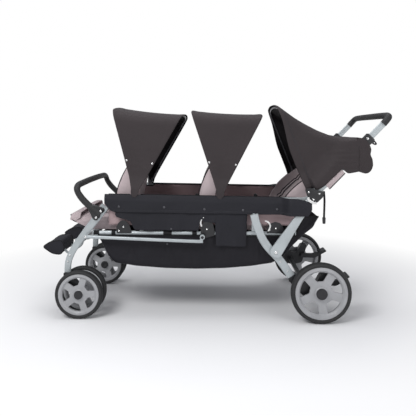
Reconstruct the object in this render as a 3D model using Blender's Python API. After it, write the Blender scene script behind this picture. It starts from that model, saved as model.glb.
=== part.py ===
"""Six-seat stroller: three rows of two seats on a folding tube frame.

Units are metres.  X runs along the stroller with the front at -X and the push handle at +X,
Y runs across it and Z is up.  The frame is the same on both sides of Y = 0.
"""
import math

import bmesh
import bpy
from mathutils import Vector

for old in list(bpy.data.objects):
    bpy.data.objects.remove(old)

# Clearances between pieces that seat on each other
GAP = 0.0003
RUN = 0.0004

# Layers across the stroller, as distances from Y = 0
SEAT_HALF = 0.243
BOW_R = 0.005
BOW_REAR_Y = SEAT_HALF + 0.0182
BOW_FRONT_Y = BOW_REAR_Y - 2 * BOW_R - GAP
RAIL_Y = BOW_REAR_Y + 0.0150
RAIL_R = 0.0095
SEAT_RAIL_R = 0.0100
COVER_WALL = 0.0145
COVER_IN = RAIL_Y + SEAT_RAIL_R + GAP
COVER_OUT = COVER_IN + COVER_WALL
OUTER_IN = COVER_OUT + 0.0020
LEG_THICK = 0.0185
LINK_THICK = 0.0150
STRUT_IN = OUTER_IN + LEG_THICK + GAP
STRUT_THICK = 0.0180

# Wheels
REAR_R = 0.146
REAR_RIM_R = 0.126
REAR_HALF = 0.0225
REAR_X = 0.510
REAR_Y = RAIL_Y + 0.0738
FRONT_R = 0.119
FRONT_RIM_R = 0.101
FRONT_HALF = 0.0180
TWIN_HALF_TRACK = 0.040
CASTER_X = -0.744
CASTER_Y = RAIL_Y - 0.0012
CASTER_TRAIL = 0.069
AXLE_R = 0.006
HUB_HALF = 0.019
SPOKES = 5

# Frame pivots (X, Z)
FRONT_HINGE = (-0.552, 0.546)
REAR_HINGE = (0.190, 0.512)
STRUT_PIVOT = (0.295, 0.335)
HANDLE_HINGE = (0.473, 0.605)
LINK_FRONT = (-0.643, 0.403)
LINK_REAR = (-0.064, 0.403)
SEAT_RAIL_Z = 0.417
SEAT_RAIL_FRONT = -0.615
SEAT_RAIL_REAR = 0.400

# Seats: recline axis of each row (X, Z), back angle from level in degrees, back length
ROWS = (
    ((-0.464, 0.443), 78.0, 0.350),
    ((-0.042, 0.443), 78.0, 0.350),
    ((0.300, 0.443), 44.0, 0.412),
)
ROD_R = 0.006
BACK_THICK = 0.030
BACK_AHEAD = 0.010
BACK_CROWN = 0.012
WING_DEPTH = 0.060
WING_WALL = 0.028
CHANNEL = 0.005
SLEEVE = 0.0008
# Where each row's back starts, measured up it from its rod; the third rests on top of its rod
BACK_FOOT = (-0.012, -0.012, ROD_R + 0.0003)
SEAT_DEPTH = 0.235
SEAT_THICK = 0.060
SEAT_SPLIT = 0.010

# Canopies: pivot (X, Z), front bow angle and rear bow angle from level, in degrees
CANOPIES = (
    ((-0.404, 0.612), 104.6, 60.5),
    ((0.023, 0.604), 108.0, 62.7),
)
BOW_RADIUS = 0.452
BOW_CORNER = 0.060
BOW_CROWN = 0.014
CLOTH = 0.0024
CANOPY_CLEAR = 0.020
HOOD_PIVOT = (0.482, 0.640)
HOOD_ANGLE = 111.3
HOOD_REACH = 0.448

# Push handle
HANDLE_SLOPE = 45.7
HANDLE_WIDTH = 0.039
HANDLE_THICK = 0.018
HANDLE_Y = OUTER_IN + HANDLE_THICK / 2
LOWER_ARM = 0.405
UPPER_REACH = 0.545
GRIP_R = 0.0165


def material(name, colour, roughness, metallic=0.0):
    """A plain Principled finish in the part's own colour."""
    mat = bpy.data.materials.new(name)
    mat.use_nodes = True
    shader = mat.node_tree.nodes["Principled BSDF"]
    shader.inputs["Base Color"].default_value = (*colour, 1.0)
    shader.inputs["Roughness"].default_value = roughness
    shader.inputs["Metallic"].default_value = metallic
    mat.diffuse_color = (*colour, 1.0)
    return mat


SILVER = material("silver_paint", (0.52, 0.56, 0.57), 0.38, 0.35)
RIM_GREY = material("rim_grey", (0.43, 0.44, 0.45), 0.42)
TYRE_BLACK = material("tyre_black", (0.015, 0.015, 0.016), 0.75)
GRIP_BLACK = material("grip_black", (0.012, 0.012, 0.013), 0.60)
PLASTIC_BLACK = material("plastic_black", (0.012, 0.012, 0.014), 0.45)
STEEL = material("bow_steel", (0.10, 0.10, 0.11), 0.35, 0.8)
CANOPY_CLOTH = material("canopy_cloth", (0.042, 0.036, 0.038), 0.90)
COVER_CLOTH = material("cover_cloth", (0.019, 0.019, 0.024), 0.88)
BASKET_CLOTH = material("basket_cloth", (0.011, 0.011, 0.014), 0.85)
SEAT_CLOTH = material("seat_cloth", (0.56, 0.48, 0.50), 0.92)


def add(name, bm, mat):
    """Turn a bmesh into a named object with outward faces and smooth round parts."""
    bmesh.ops.remove_doubles(bm, verts=bm.verts, dist=1e-6)
    bmesh.ops.recalc_face_normals(bm, faces=bm.faces)
    mesh = bpy.data.meshes.new(name)
    bm.to_mesh(mesh)
    bm.free()
    mesh.shade_smooth()
    mesh.set_sharp_from_angle(angle=math.radians(35))
    mesh.materials.append(mat)
    obj = bpy.data.objects.new(name, mesh)
    bpy.context.scene.collection.objects.link(obj)
    return obj


def combine(target, others, operation="UNION"):
    """Fuse or cut the target with other objects, which are then removed."""
    for other in others:
        tool = target.modifiers.new("combine", "BOOLEAN")
        tool.operation = operation
        tool.solver = "EXACT"
        tool.object = other
        graph = bpy.context.evaluated_depsgraph_get()
        mesh = bpy.data.meshes.new_from_object(target.evaluated_get(graph))
        target.modifiers.remove(tool)
        target.data = mesh
        bpy.data.objects.remove(other)
    return target


def ring_faces(bm, rings, closed_section=True):
    """Skin consecutive rings of vertices."""
    for low, high in zip(rings, rings[1:]):
        count = len(low)
        for i in range(count if closed_section else count - 1):
            j = (i + 1) % count
            bm.faces.new((low[i], low[j], high[j], high[i]))


def sweep(name, path, section, mat, side=Vector((0, 1, 0)), scales=None):
    """Carry a closed section along a path: section u lies along side, v across the path."""
    bm = bmesh.new()
    rings = []
    points = [Vector(p) for p in path]
    for i, point in enumerate(points):
        before = points[max(i - 1, 0)]
        after = points[min(i + 1, len(points) - 1)]
        ahead = (after - before).normalized()
        if 0 < i < len(points) - 1:
            arriving = (point - before).normalized()
            stretch = 1.0 / max(ahead.dot(arriving), 0.5)
        else:
            stretch = 1.0
        across = side - ahead * side.dot(ahead)
        across.normalize()
        other = ahead.cross(across)
        size = scales[i] if scales else 1.0
        bend_in_plane = abs(ahead.dot(side)) < 1e-4
        ring = []
        for u, v in section:
            su, sv = (u, v * size * stretch) if bend_in_plane else (u * stretch, v * size)
            ring.append(bm.verts.new(point + across * su + other * sv))
        rings.append(ring)
    ring_faces(bm, rings)
    bm.faces.new(rings[0])
    bm.faces.new(rings[-1])
    return add(name, bm, mat)


def round_section(radius, sides=10):
    return [(radius * math.cos(2 * math.pi * i / sides), radius * math.sin(2 * math.pi * i / sides))
            for i in range(sides)]


def oval_section(thick, width, steps=3):
    """A flat oval: straight flanks of the given thickness and round edges across the width."""
    radius = thick / 2
    flat = width / 2 - radius
    points = []
    for sign in (1, -1):
        for i in range(steps + 1):
            angle = math.pi * i / steps
            points.append((sign * radius * math.cos(angle), sign * (flat + radius * math.sin(angle))))
    return points


def smooth_path(points, rounds=1):
    """Corner cutting that keeps both ends."""
    for _ in range(rounds):
        fresh = [points[0]]
        for a, b in zip(points, points[1:]):
            a, b = Vector(a), Vector(b)
            fresh.append(tuple(a.lerp(b, 0.25)))
            fresh.append(tuple(a.lerp(b, 0.75)))
        fresh.append(points[-1])
        points = [fresh[0]] + fresh[2:-2] + [fresh[-1]]
    return points


def flat_path(points_xz, y):
    return [(x, y, z) for x, z in points_xz]


def cylinder(name, x, z, y0, y1, radius, mat, sides=16):
    """A round bar along Y."""
    bm = bmesh.new()
    rings = []
    for y in (y0, y1):
        rings.append([bm.verts.new((x + radius * math.cos(2 * math.pi * i / sides), y,
                                    z + radius * math.sin(2 * math.pi * i / sides)))
                      for i in range(sides)])
    ring_faces(bm, rings)
    bm.faces.new(rings[0])
    bm.faces.new(rings[1])
    return add(name, bm, mat)


def plate(name, outline_xz, y0, y1, mat):
    """A flat piece in the XZ plane with thickness along Y."""
    bm = bmesh.new()
    rings = [[bm.verts.new((x, y, z)) for x, z in outline_xz] for y in (y0, y1)]
    ring_faces(bm, rings)
    bm.faces.new(rings[0])
    bm.faces.new(rings[1])
    return add(name, bm, mat)


def rounded(outline, radius, steps=2):
    """Round each corner of an outline with a short arc."""
    points = []
    count = len(outline)
    for i in range(count):
        corner = Vector(outline[i])
        back = (Vector(outline[i - 1]) - corner)
        ahead = (Vector(outline[(i + 1) % count]) - corner)
        reach = min(radius, back.length * 0.45, ahead.length * 0.45)
        start = corner + back.normalized() * reach
        end = corner + ahead.normalized() * reach
        for k in range(steps + 1):
            t = k / steps
            spot = start * (1 - t) ** 2 + corner * 2 * t * (1 - t) + end * t ** 2
            points.append((spot.x, spot.y))
    return points


def box(name, low, high, mat):
    bm = bmesh.new()
    bmesh.ops.create_cube(bm, size=1.0)
    size = Vector(high) - Vector(low)
    middle = (Vector(high) + Vector(low)) / 2
    for vert in bm.verts:
        vert.co = Vector(vert.co[k] * size[k] + middle[k] for k in range(3))
    return add(name, bm, mat)


def turned(name, profile, mat, centre, steps, out):
    """Turn a closed (radius, offset) profile about a line along Y; out is +1 or -1."""
    bm = bmesh.new()
    columns = []
    for radius, offset in profile:
        if radius < 1e-6:
            columns.append([bm.verts.new((centre[0], centre[1] + out * offset, centre[2]))])
            continue
        columns.append([bm.verts.new((centre[0] + radius * math.cos(2 * math.pi * i / steps),
                                      centre[1] + out * offset,
                                      centre[2] + radius * math.sin(2 * math.pi * i / steps)))
                        for i in range(steps)])
    pairs = list(zip(columns, columns[1:] + columns[:1]))
    for a, b in pairs:
        if len(a) == 1 and len(b) == 1:
            continue
        for i in range(steps):
            j = (i + 1) % steps
            if len(a) == 1:
                bm.faces.new((a[0], b[j], b[i]))
            elif len(b) == 1:
                bm.faces.new((a[i], a[j], b[0]))
            else:
                bm.faces.new((a[i], a[j], b[j], b[i]))
    return add(name, bm, mat)


def wheel(name, centre, out, radius, rim_radius, half, steps, first_window, hub_out):
    """A tyre and its five-spoke rim with a hub cap; the hub bore is open on the inner side."""
    tread = radius - rim_radius - RUN
    tyre_profile = [(rim_radius + RUN, -half * 0.80), (rim_radius + tread * 0.45, -half)]
    shoulder_steps = 3
    for i in range(shoulder_steps + 1):
        angle = math.pi * (i / shoulder_steps - 0.5)
        tyre_profile.append((radius - tread * 0.45 * (1 - math.cos(angle)), half * math.sin(angle) * 0.96))
    tyre_profile += [(rim_radius + tread * 0.45, half), (rim_radius + RUN, half * 0.80)]
    turned(name + "_tyre", tyre_profile, TYRE_BLACK, centre, steps, out)

    ring = rim_radius * 0.825
    cap = rim_radius * 0.21
    web_out = half * 0.42
    web_in = half * 0.02
    bore = AXLE_R + RUN
    profile = [
        (0, hub_out), (cap * 0.80, hub_out), (cap, hub_out - 0.003), (cap, web_out + 0.002),
        (ring, web_out - 0.001), (ring + 0.004, half * 0.86),
        (rim_radius, half * 0.80), (rim_radius, -half * 0.80), (ring + 0.004, -half * 0.80),
        (ring, web_in), (cap * 0.95, web_in), (cap * 0.85, -HUB_HALF), (bore, -HUB_HALF),
        (bore, hub_out - 0.006), (0, hub_out - 0.006),
    ]
    rim = turned(name + "_rim", profile, RIM_GREY, centre, steps, out)
    cutters = []
    for k in range(SPOKES):
        middle = math.radians(first_window + k * 360 / SPOKES)
        outline = []
        for t in (-1, -0.4, 0.4, 1):
            angle = middle + t * math.radians(24)
            outline.append((ring * 0.985 * math.cos(angle), ring * 0.985 * math.sin(angle)))
        for t in (1, -1):
            angle = middle + t * math.radians(17)
            outline.append((ring * 0.55 * math.cos(angle), ring * 0.55 * math.sin(angle)))
        outline = [(centre[0] + x, centre[2] + z) for x, z in outline]
        cutters.append(plate("window", outline, centre[1] - half * 1.6, centre[1] + half * 1.6, RIM_GREY))
    return combine(rim, cutters, "DIFFERENCE")


def side_name(side):
    return "right" if side > 0 else "left"


def front_wheels_and_casters():
    for side in (-1, 1):
        label = side_name(side)
        axis_y = side * CASTER_Y
        axle_x = CASTER_X + CASTER_TRAIL
        for place, out in (("outer", side), ("inner", -side)):
            centre = (axle_x, axis_y + out * TWIN_HALF_TRACK, FRONT_R)
            wheel(f"front_{label}_{place}", centre, out, FRONT_R, FRONT_RIM_R, FRONT_HALF, 20, 110, 0.021)
        half_body = TWIN_HALF_TRACK - HUB_HALF - RUN
        outline = [
            (CASTER_X - 0.015, LEG_END_Z - GAP), (CASTER_X - 0.015, 0.150), (axle_x - 0.012, 0.100),
            (axle_x + 0.014, 0.100), (axle_x + 0.016, 0.130), (CASTER_X + 0.030, 0.190),
            (CASTER_X + 0.016, LEG_END_Z - GAP),
        ]
        body = plate(f"caster_{label}", outline, axis_y - half_body, axis_y + half_body, PLASTIC_BLACK)
        reach = TWIN_HALF_TRACK + 0.0145
        axle = cylinder("axle", axle_x, FRONT_R, axis_y - reach, axis_y + reach, AXLE_R, STEEL, 12)
        stem = sweep("stem", [(CASTER_X, axis_y, 0.19), (CASTER_X, axis_y, LEG_END_Z + 0.035)],
                     round_section(0.007), STEEL)
        combine(body, [axle, stem])


LEG_END_Z = 0.2165
FRONT_LEG_LINE = [FRONT_HINGE, (-0.641, 0.434), (-0.705, 0.346), (-0.733, 0.296), (CASTER_X, 0.262),
                  (CASTER_X, LEG_END_Z)]
REAR_LEG_LINE = [REAR_HINGE, (0.211, 0.4465), (0.236, 0.392), (0.2605, 0.350), (0.305, 0.310),
                 (0.372, 0.214)]
FRONT_LEG_WIDTH = 0.043
REAR_LEG_WIDTH = 0.040


def front_legs():
    """Two legs with their cross tube; the pads for the children's feet hang on that tube."""
    for side in (-1, 1):
        label = side_name(side)
        y = side * CASTER_Y
        line = smooth_path(FRONT_LEG_LINE)
        count = len(line)
        widths = [1.0 - 0.24 * min(1.0, i / (count - 3)) for i in range(count)]
        leg = sweep(f"front_leg_{label}", flat_path(line, y), oval_section(LEG_THICK, FRONT_LEG_WIDTH),
                    SILVER, scales=widths)
        knuckle = cylinder("knuckle", *FRONT_HINGE, y - LEG_THICK / 2, y + LEG_THICK / 2,
                           FRONT_LEG_WIDTH / 2, SILVER, 20)
        combine(leg, [knuckle])
        bore = sweep("bore", [(CASTER_X, y, LEG_END_Z - 0.01), (CASTER_X, y, LEG_END_Z + 0.0355)],
                     round_section(0.007 + RUN), SILVER)
        combine(leg, [bore], "DIFFERENCE")
    inner = CASTER_Y - LEG_THICK / 2 - GAP
    cylinder("front_cross_tube", *CROSS_TUBE, -inner, inner, 0.0095, SILVER, 12)


CROSS_TUBE = (-0.700, 0.352)
FOOT_TIP = (-0.8808, 0.3375)


def footrests():
    """Two padded foot plates, each on a bent tube that hooks over the cross tube."""
    outline = rounded([(FOOT_TIP[0], FOOT_TIP[1]), (-0.842, 0.364), (-0.782, 0.372),
                       (-0.768, 0.330), (-0.785, 0.298), (-0.830, 0.303)], 0.016)
    for side in (-1, 1):
        low, high = sorted((side * 0.090, side * 0.252))
        pad = plate(f"footrest_{side_name(side)}", outline, low, high, PLASTIC_BLACK)
        arms = []
        for y in (side * 0.115, side * 0.225):
            hook_x = CROSS_TUBE[0] - 0.0095 - GAP - 0.006
            line = smooth_path([(-0.790, 0.335), (-0.752, 0.300), (hook_x, 0.325), (hook_x, 0.374)])
            arms.append(sweep("arm", flat_path(line, y), round_section(0.006, 8), SILVER))
        combine(pad, arms)


def front_grip():
    """The padded pull bar bolted to the outside of both front legs."""
    y = OUTER_IN + 0.011
    side_line = [(-0.578, 0.520), (-0.610, 0.545), (-0.655, 0.588), (-0.686, 0.640)]
    left = [(x, -y, z) for x, z in side_line] + [(-0.688, -y + 0.030, 0.657)]
    right = [(x, -yy, z) for x, yy, z in reversed(left)]
    line = smooth_path(left + [(-0.684, -0.10, 0.662), (-0.684, 0.10, 0.662)] + right)
    grip = sweep("front_grip", line, round_section(0.0165, 8), GRIP_BLACK)
    lugs = []
    for side in (-1, 1):
        for x, z in ((-0.5655, 0.531), (-0.589, 0.500)):
            y0, y1 = sorted((side * (CASTER_Y + LEG_THICK / 2 + GAP), side * (y + 0.008)))
            lugs.append(cylinder("lug", x, z, y0, y1, 0.0125, GRIP_BLACK, 10))
        outline = rounded([(-0.556, 0.540), (-0.590, 0.484), (-0.606, 0.494), (-0.622, 0.556)], 0.010)
        y0, y1 = sorted((side * OUTER_IN, side * (OUTER_IN + 0.020)))
        lugs.append(plate("lug", outline, y0, y1, GRIP_BLACK))
    combine(grip, lugs)


def top_rails():
    """Upper side rails with the brackets that hold the legs, the seat rails and the handle."""
    posts_x = (-0.370, 0.030, REAR_HINGE[0])
    for side in (-1, 1):
        y = side * RAIL_Y
        front = FRONT_HINGE[0] + FRONT_LEG_WIDTH / 2 + RUN
        line = smooth_path([(front, 0.546), (-0.512, 0.549), (-0.495, 0.588), (-0.40, 0.5985), (0.42, 0.583),
                            (HANDLE_HINGE[0] + 0.006, HANDLE_HINGE[1] - 0.006)], 1)
        rail = sweep(f"top_rail_{side_name(side)}", flat_path(line, y), round_section(RAIL_R), SILVER)
        extras = []
        for x in posts_x:
            low = SEAT_RAIL_Z + SEAT_RAIL_R + GAP
            y0, y1 = y - 0.004, y + 0.004
            extras.append(box("post", (x - 0.009, y0, low), (x + 0.009, y1, 0.588), SILVER))
        y0, y1 = sorted((side * RAIL_Y, side * (OUTER_IN - GAP)))
        extras.append(cylinder("pin", *REAR_HINGE, y0, y1, 0.008, SILVER, 12))
        extras.append(cylinder("pin", *HANDLE_HINGE, y0, y1, 0.0125, SILVER, 12))
        clip_out = RAIL_Y + 0.004
        y0, y1 = sorted((side * (BOW_REAR_Y + BOW_R + GAP), side * clip_out))
        for (x, z), _, _ in CANOPIES:
            extras.append(box("clip", (x - 0.011, y0, z - 0.020), (x + 0.011, y1, z + 0.009), SILVER))
        y0, y1 = sorted((side * (BOW_FRONT_Y + BOW_R + GAP), side * clip_out))
        x, z = HOOD_PIVOT
        extras.append(box("clip", (x - 0.011, y0, z - 0.050), (x + 0.011, y1, z + 0.010), SILVER))
        combine(rail, extras)


def seat_rails():
    """Lower rails under the seats with three recline brackets and the stub for the link."""
    for side in (-1, 1):
        y = side * RAIL_Y
        rail = sweep(f"seat_rail_{side_name(side)}",
                     flat_path([(SEAT_RAIL_FRONT, SEAT_RAIL_Z), (SEAT_RAIL_REAR, SEAT_RAIL_Z)], y),
                     round_section(SEAT_RAIL_R), SILVER)
        extras = []
        y0, y1 = sorted((side * (BOW_REAR_Y + BOW_R), side * COVER_OUT))
        for (x, z), _, _ in ROWS:
            foot = SEAT_RAIL_Z - SEAT_RAIL_R
            outline = rounded([(x - 0.028, foot), (x - 0.014, z + 0.014), (x + 0.016, z + 0.020),
                               (x + 0.030, z - 0.006), (x + 0.022, foot)], 0.014)
            extras.append(plate("bracket", outline, y0, y1, PLASTIC_BLACK))
        a, b = sorted((side * (COVER_OUT - 0.004), side * (OUTER_IN - GAP)))
        extras.append(cylinder("stub", *LINK_REAR, a, b, 0.010, PLASTIC_BLACK, 12))
        combine(rail, extras)


def cross_rods():
    """Rods between the recline brackets, which the seat backs turn on, and the front seat tube."""
    inner = BOW_REAR_Y + BOW_R - GAP
    for number, ((x, z), _, _) in enumerate(ROWS, 1):
        cylinder(f"recline_rod_{number}", x, z, -inner, inner, ROD_R, STEEL, 12)
    inner = RAIL_Y - SEAT_RAIL_R - GAP
    cylinder("front_seat_tube", SEAT_RAIL_FRONT + 0.015, SEAT_RAIL_Z, -inner, inner, 0.0095, SILVER, 12)


def links():
    for side in (-1, 1):
        y = side * (OUTER_IN + LINK_THICK / 2)
        line = smooth_path([LINK_FRONT, (-0.560, 0.3995), (-0.100, 0.3825), (-0.074, 0.386), LINK_REAR], 1)
        link = sweep(f"lower_link_{side_name(side)}", flat_path(line, y), oval_section(LINK_THICK, 0.0155, 3),
                     SILVER)
        y0, y1 = sorted((side * (CASTER_Y + LEG_THICK / 2 + GAP), side * (OUTER_IN + LINK_THICK)))
        boss = cylinder("boss", *LINK_FRONT, y0, y1, 0.0100, SILVER, 12)
        y0, y1 = sorted((side * OUTER_IN, side * (OUTER_IN + LINK_THICK)))
        eye = cylinder("eye", *LINK_REAR, y0, y1, 0.0125, SILVER, 12)
        combine(link, [boss, eye])


def rear_legs_and_axle():
    """Rear legs, and the axle beam that their feet are bolted into."""
    for side in (-1, 1):
        y = side * (OUTER_IN + LEG_THICK / 2)
        leg = sweep(f"rear_leg_{side_name(side)}", flat_path(smooth_path(REAR_LEG_LINE), y),
                    oval_section(LEG_THICK, REAR_LEG_WIDTH), SILVER)
        knuckle = cylinder("knuckle", *REAR_HINGE, y - LEG_THICK / 2, y + LEG_THICK / 2,
                           REAR_LEG_WIDTH / 2, SILVER, 20)
        combine(leg, [knuckle])
    tube_x, tube_z = 0.452, 0.150
    beam = cylinder("rear_axle_beam", tube_x, tube_z, -0.300, 0.300, 0.0125, PLASTIC_BLACK, 12)
    extras = []
    for side in (-1, 1):
        inner, outer = OUTER_IN - 0.022, REAR_Y - HUB_HALF - 0.006
        end = Vector(REAR_LEG_LINE[-1])
        along = (end - Vector(REAR_LEG_LINE[-2])).normalized()
        across = Vector((-along.y, along.x)) * (REAR_LEG_WIDTH / 2 + 0.004)
        seat_low, seat_high = end - across + along * GAP, end + across + along * GAP
        foot = [tuple(seat_low), (0.392, 0.160), (0.428, 0.122), (0.470, 0.112), (0.524, 0.124),
                (0.556, 0.232), (0.520, 0.236), (0.490, 0.182), (0.455, 0.190), tuple(seat_high)]
        y0, y1 = sorted((side * inner, side * outer))
        extras.append(plate("foot", rounded(foot, 0.010), y0, y1, PLASTIC_BLACK))
        a, b = sorted((side * (outer - 0.010), side * (REAR_Y + 0.0175)))
        extras.append(cylinder("stub", REAR_X, REAR_R, a, b, AXLE_R, STEEL, 12))
        c, d = sorted((side * (outer - 0.010), side * (REAR_Y - HUB_HALF - RUN)))
        extras.append(cylinder("collar", REAR_X, REAR_R, c, d, 0.012, PLASTIC_BLACK, 12))
        e, f = sorted((side * (inner + 0.005), side * (inner - PEDAL_WIDE - 0.003)))
        extras.append(cylinder("pin", *PEDAL_PIVOT, e, f, PEDAL_PIN_R, STEEL, 10))
    combine(beam, extras)


PEDAL_PIVOT = (0.530, 0.172)
PEDAL_PIN_R = 0.005
PEDAL_WIDE = 0.022


def brake_pedals():
    """A foot lever behind each rear wheel's housing, with a pad bent up at its end."""
    for side in (-1, 1):
        outer = OUTER_IN - 0.022 - GAP
        inner = outer - PEDAL_WIDE
        y0, y1 = sorted((side * inner, side * outer))
        lever = [(0.516, 0.184), (0.516, 0.160), (0.600, 0.158), (0.642, 0.182), (0.665, 0.206),
                 (0.655, 0.214), (0.625, 0.192), (0.585, 0.182)]
        pedal = plate(f"brake_pedal_{side_name(side)}", rounded(lever, 0.006), y0, y1, PLASTIC_BLACK)
        a, b = sorted((side * (inner - 0.030), side * (outer + 0.012)))
        pad = plate("pad", rounded([(0.632, 0.187), (0.664, 0.205), (0.657, 0.216), (0.624, 0.200)], 0.004),
                    a, b, PLASTIC_BLACK)
        combine(pedal, [pad])
        bore = cylinder("bore", *PEDAL_PIVOT, y0 - 0.01, y1 + 0.01, PEDAL_PIN_R + RUN, PLASTIC_BLACK, 10)
        combine(pedal, [bore], "DIFFERENCE")


def rear_struts():
    """Struts from the handle brackets down to the rear legs, widening towards their lower ends."""
    for side in (-1, 1):
        y0, y1 = sorted((side * STRUT_IN, side * (STRUT_IN + STRUT_THICK)))
        top = Vector(HANDLE_HINGE)
        foot = Vector(STRUT_PIVOT)
        along = (top - foot).normalized()
        across = Vector((-along.y, along.x))
        outline = []
        for i in range(7):
            angle = math.pi * i / 6
            outline.append(foot - along * 0.020 * math.sin(angle) - across * 0.030 * math.cos(angle))
        outline.append(foot + along * 0.12 + across * 0.022)
        outline.append(top + across * 0.017)
        outline.append(top + along * 0.012 + across * 0.008)
        outline.append(top + along * 0.012 - across * 0.008)
        outline.append(top - across * 0.017)
        outline.append(foot + along * 0.12 - across * 0.022)
        plate(f"rear_strut_{side_name(side)}", [tuple(p) for p in outline], y0, y1, SILVER)


def along_handle(distance, rise=0.0):
    """A point in the XZ plane measured from the handle hinge up the handle's slope."""
    slope = math.radians(HANDLE_SLOPE)
    return (HANDLE_HINGE[0] + distance * math.cos(slope) - rise * math.sin(slope),
            HANDLE_HINGE[1] + distance * math.sin(slope) + rise * math.cos(slope))


def push_handle():
    """Lower arms with their clamp collars, and the sliding upper bow with its foam grip."""
    wall = 0.0035
    for side in (-1, 1):
        y = side * HANDLE_Y
        arm = sweep(f"handle_arm_{side_name(side)}",
                    flat_path([HANDLE_HINGE, along_handle(LOWER_ARM)], y),
                    oval_section(HANDLE_THICK, HANDLE_WIDTH), SILVER)
        knuckle = cylinder("knuckle", *HANDLE_HINGE, y - HANDLE_THICK / 2, y + HANDLE_THICK / 2,
                           HANDLE_WIDTH / 2, SILVER, 16)
        collar = sweep("collar", flat_path([along_handle(LOWER_ARM - 0.034), along_handle(LOWER_ARM + 0.006)], y),
                       oval_section(HANDLE_THICK + 0.006, HANDLE_WIDTH + 0.010), PLASTIC_BLACK)
        tail = [along_handle(LOWER_ARM + a, b)
                for a, b in ((-0.004, -0.020), (0.004, -0.020), (0.002, -0.044), (-0.010, -0.040))]
        lever = plate("lever", rounded(tail, 0.003), y - 0.008, y + 0.008, PLASTIC_BLACK)
        combine(arm, [knuckle, collar, lever])
        bore = sweep("bore", flat_path([along_handle(LOWER_ARM - 0.115), along_handle(LOWER_ARM + 0.02)], y),
                     oval_section(HANDLE_THICK - 2 * wall, HANDLE_WIDTH - 2 * wall), SILVER)
        combine(arm, [bore], "DIFFERENCE")
    thick, width = HANDLE_THICK - 2 * wall - 2 * RUN, HANDLE_WIDTH - 2 * wall - 2 * RUN
    inner_line = [along_handle(LOWER_ARM - 0.055), along_handle(UPPER_REACH - 0.035)]
    tubes = [sweep("slide", flat_path(inner_line, side * HANDLE_Y), oval_section(thick, width), SILVER)
             for side in (-1, 1)]
    ends = []
    for side in (-1, 1):
        low = along_handle(UPPER_REACH - 0.045)
        high = along_handle(UPPER_REACH)
        ends.append([(low[0], side * HANDLE_Y, low[1]), (high[0] - 0.006, side * HANDLE_Y, high[1] - 0.006),
                     (high[0] + 0.004, side * (HANDLE_Y - 0.040), high[1] + 0.006)])
    middle = along_handle(UPPER_REACH + 0.004)
    line = smooth_path(ends[0] + [(middle[0] + 0.002, 0.0, middle[1] + 0.012)] + ends[1][::-1], 2)
    grip = sweep("handle_grip", line, round_section(GRIP_R, 10), GRIP_BLACK, side=Vector((0.7, 0.02, -0.7)))
    combine(grip, tubes)


def bow_line(half_width, reach, start, corner=BOW_CORNER, crown=BOW_CROWN, steps=3, top=4):
    """One hoop as (across, up) points: two legs, two round corners and a slightly crowned top."""
    points = [(-half_width, start)]
    for i in range(steps + 1):
        angle = math.pi / 2 * i / steps
        points.append((-half_width + corner * (1 - math.cos(angle)),
                       reach - crown - corner + corner * math.sin(angle)))
    flat = half_width - corner
    for i in range(1, top):
        t = -1 + 2 * i / top
        points.append((t * flat, reach - crown * t * t))
    points += [(-y, r) for y, r in reversed(points[:steps + 2])]
    return points


def lean(points, pivot, degrees):
    """Stand hoop points up at a pivot, leaning by an angle from level."""
    angle = math.radians(degrees)
    return [Vector((pivot[0] + r * math.cos(angle), y, pivot[1] + r * math.sin(angle))) for y, r in points]


def cloth_shell(name, sections, mat, thick=CLOTH):
    """A thin closed sheet skinned over a row of hoops; the wall grows outwards."""
    bm = bmesh.new()
    rows, cols = len(sections), len(sections[0])
    normals = [[None] * cols for _ in range(rows)]
    for i in range(rows):
        for j in range(cols):
            du = sections[min(i + 1, rows - 1)][j] - sections[max(i - 1, 0)][j]
            dv = sections[i][min(j + 1, cols - 1)] - sections[i][max(j - 1, 0)]
            normals[i][j] = dv.cross(du).normalized()
    middle = sum((sum(row, Vector()) for row in sections), Vector()) / (rows * cols)
    check = sections[rows // 2][cols // 2]
    sign = 1.0 if normals[rows // 2][cols // 2].dot(check - middle) > 0 else -1.0
    inner = [[bm.verts.new(p) for p in row] for row in sections]
    outer = [[bm.verts.new(sections[i][j] + normals[i][j] * sign * thick) for j in range(cols)]
             for i in range(rows)]
    for grid in (inner, outer):
        ring_faces(bm, grid, closed_section=False)
    for i in range(rows - 1):
        for j in (0, cols - 1):
            bm.faces.new((inner[i][j], inner[i + 1][j], outer[i + 1][j], outer[i][j]))
    for j in range(cols - 1):
        for i in (0, rows - 1):
            bm.faces.new((inner[i][j], inner[i][j + 1], outer[i][j + 1], outer[i][j]))
    return add(name, bm, mat)


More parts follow.
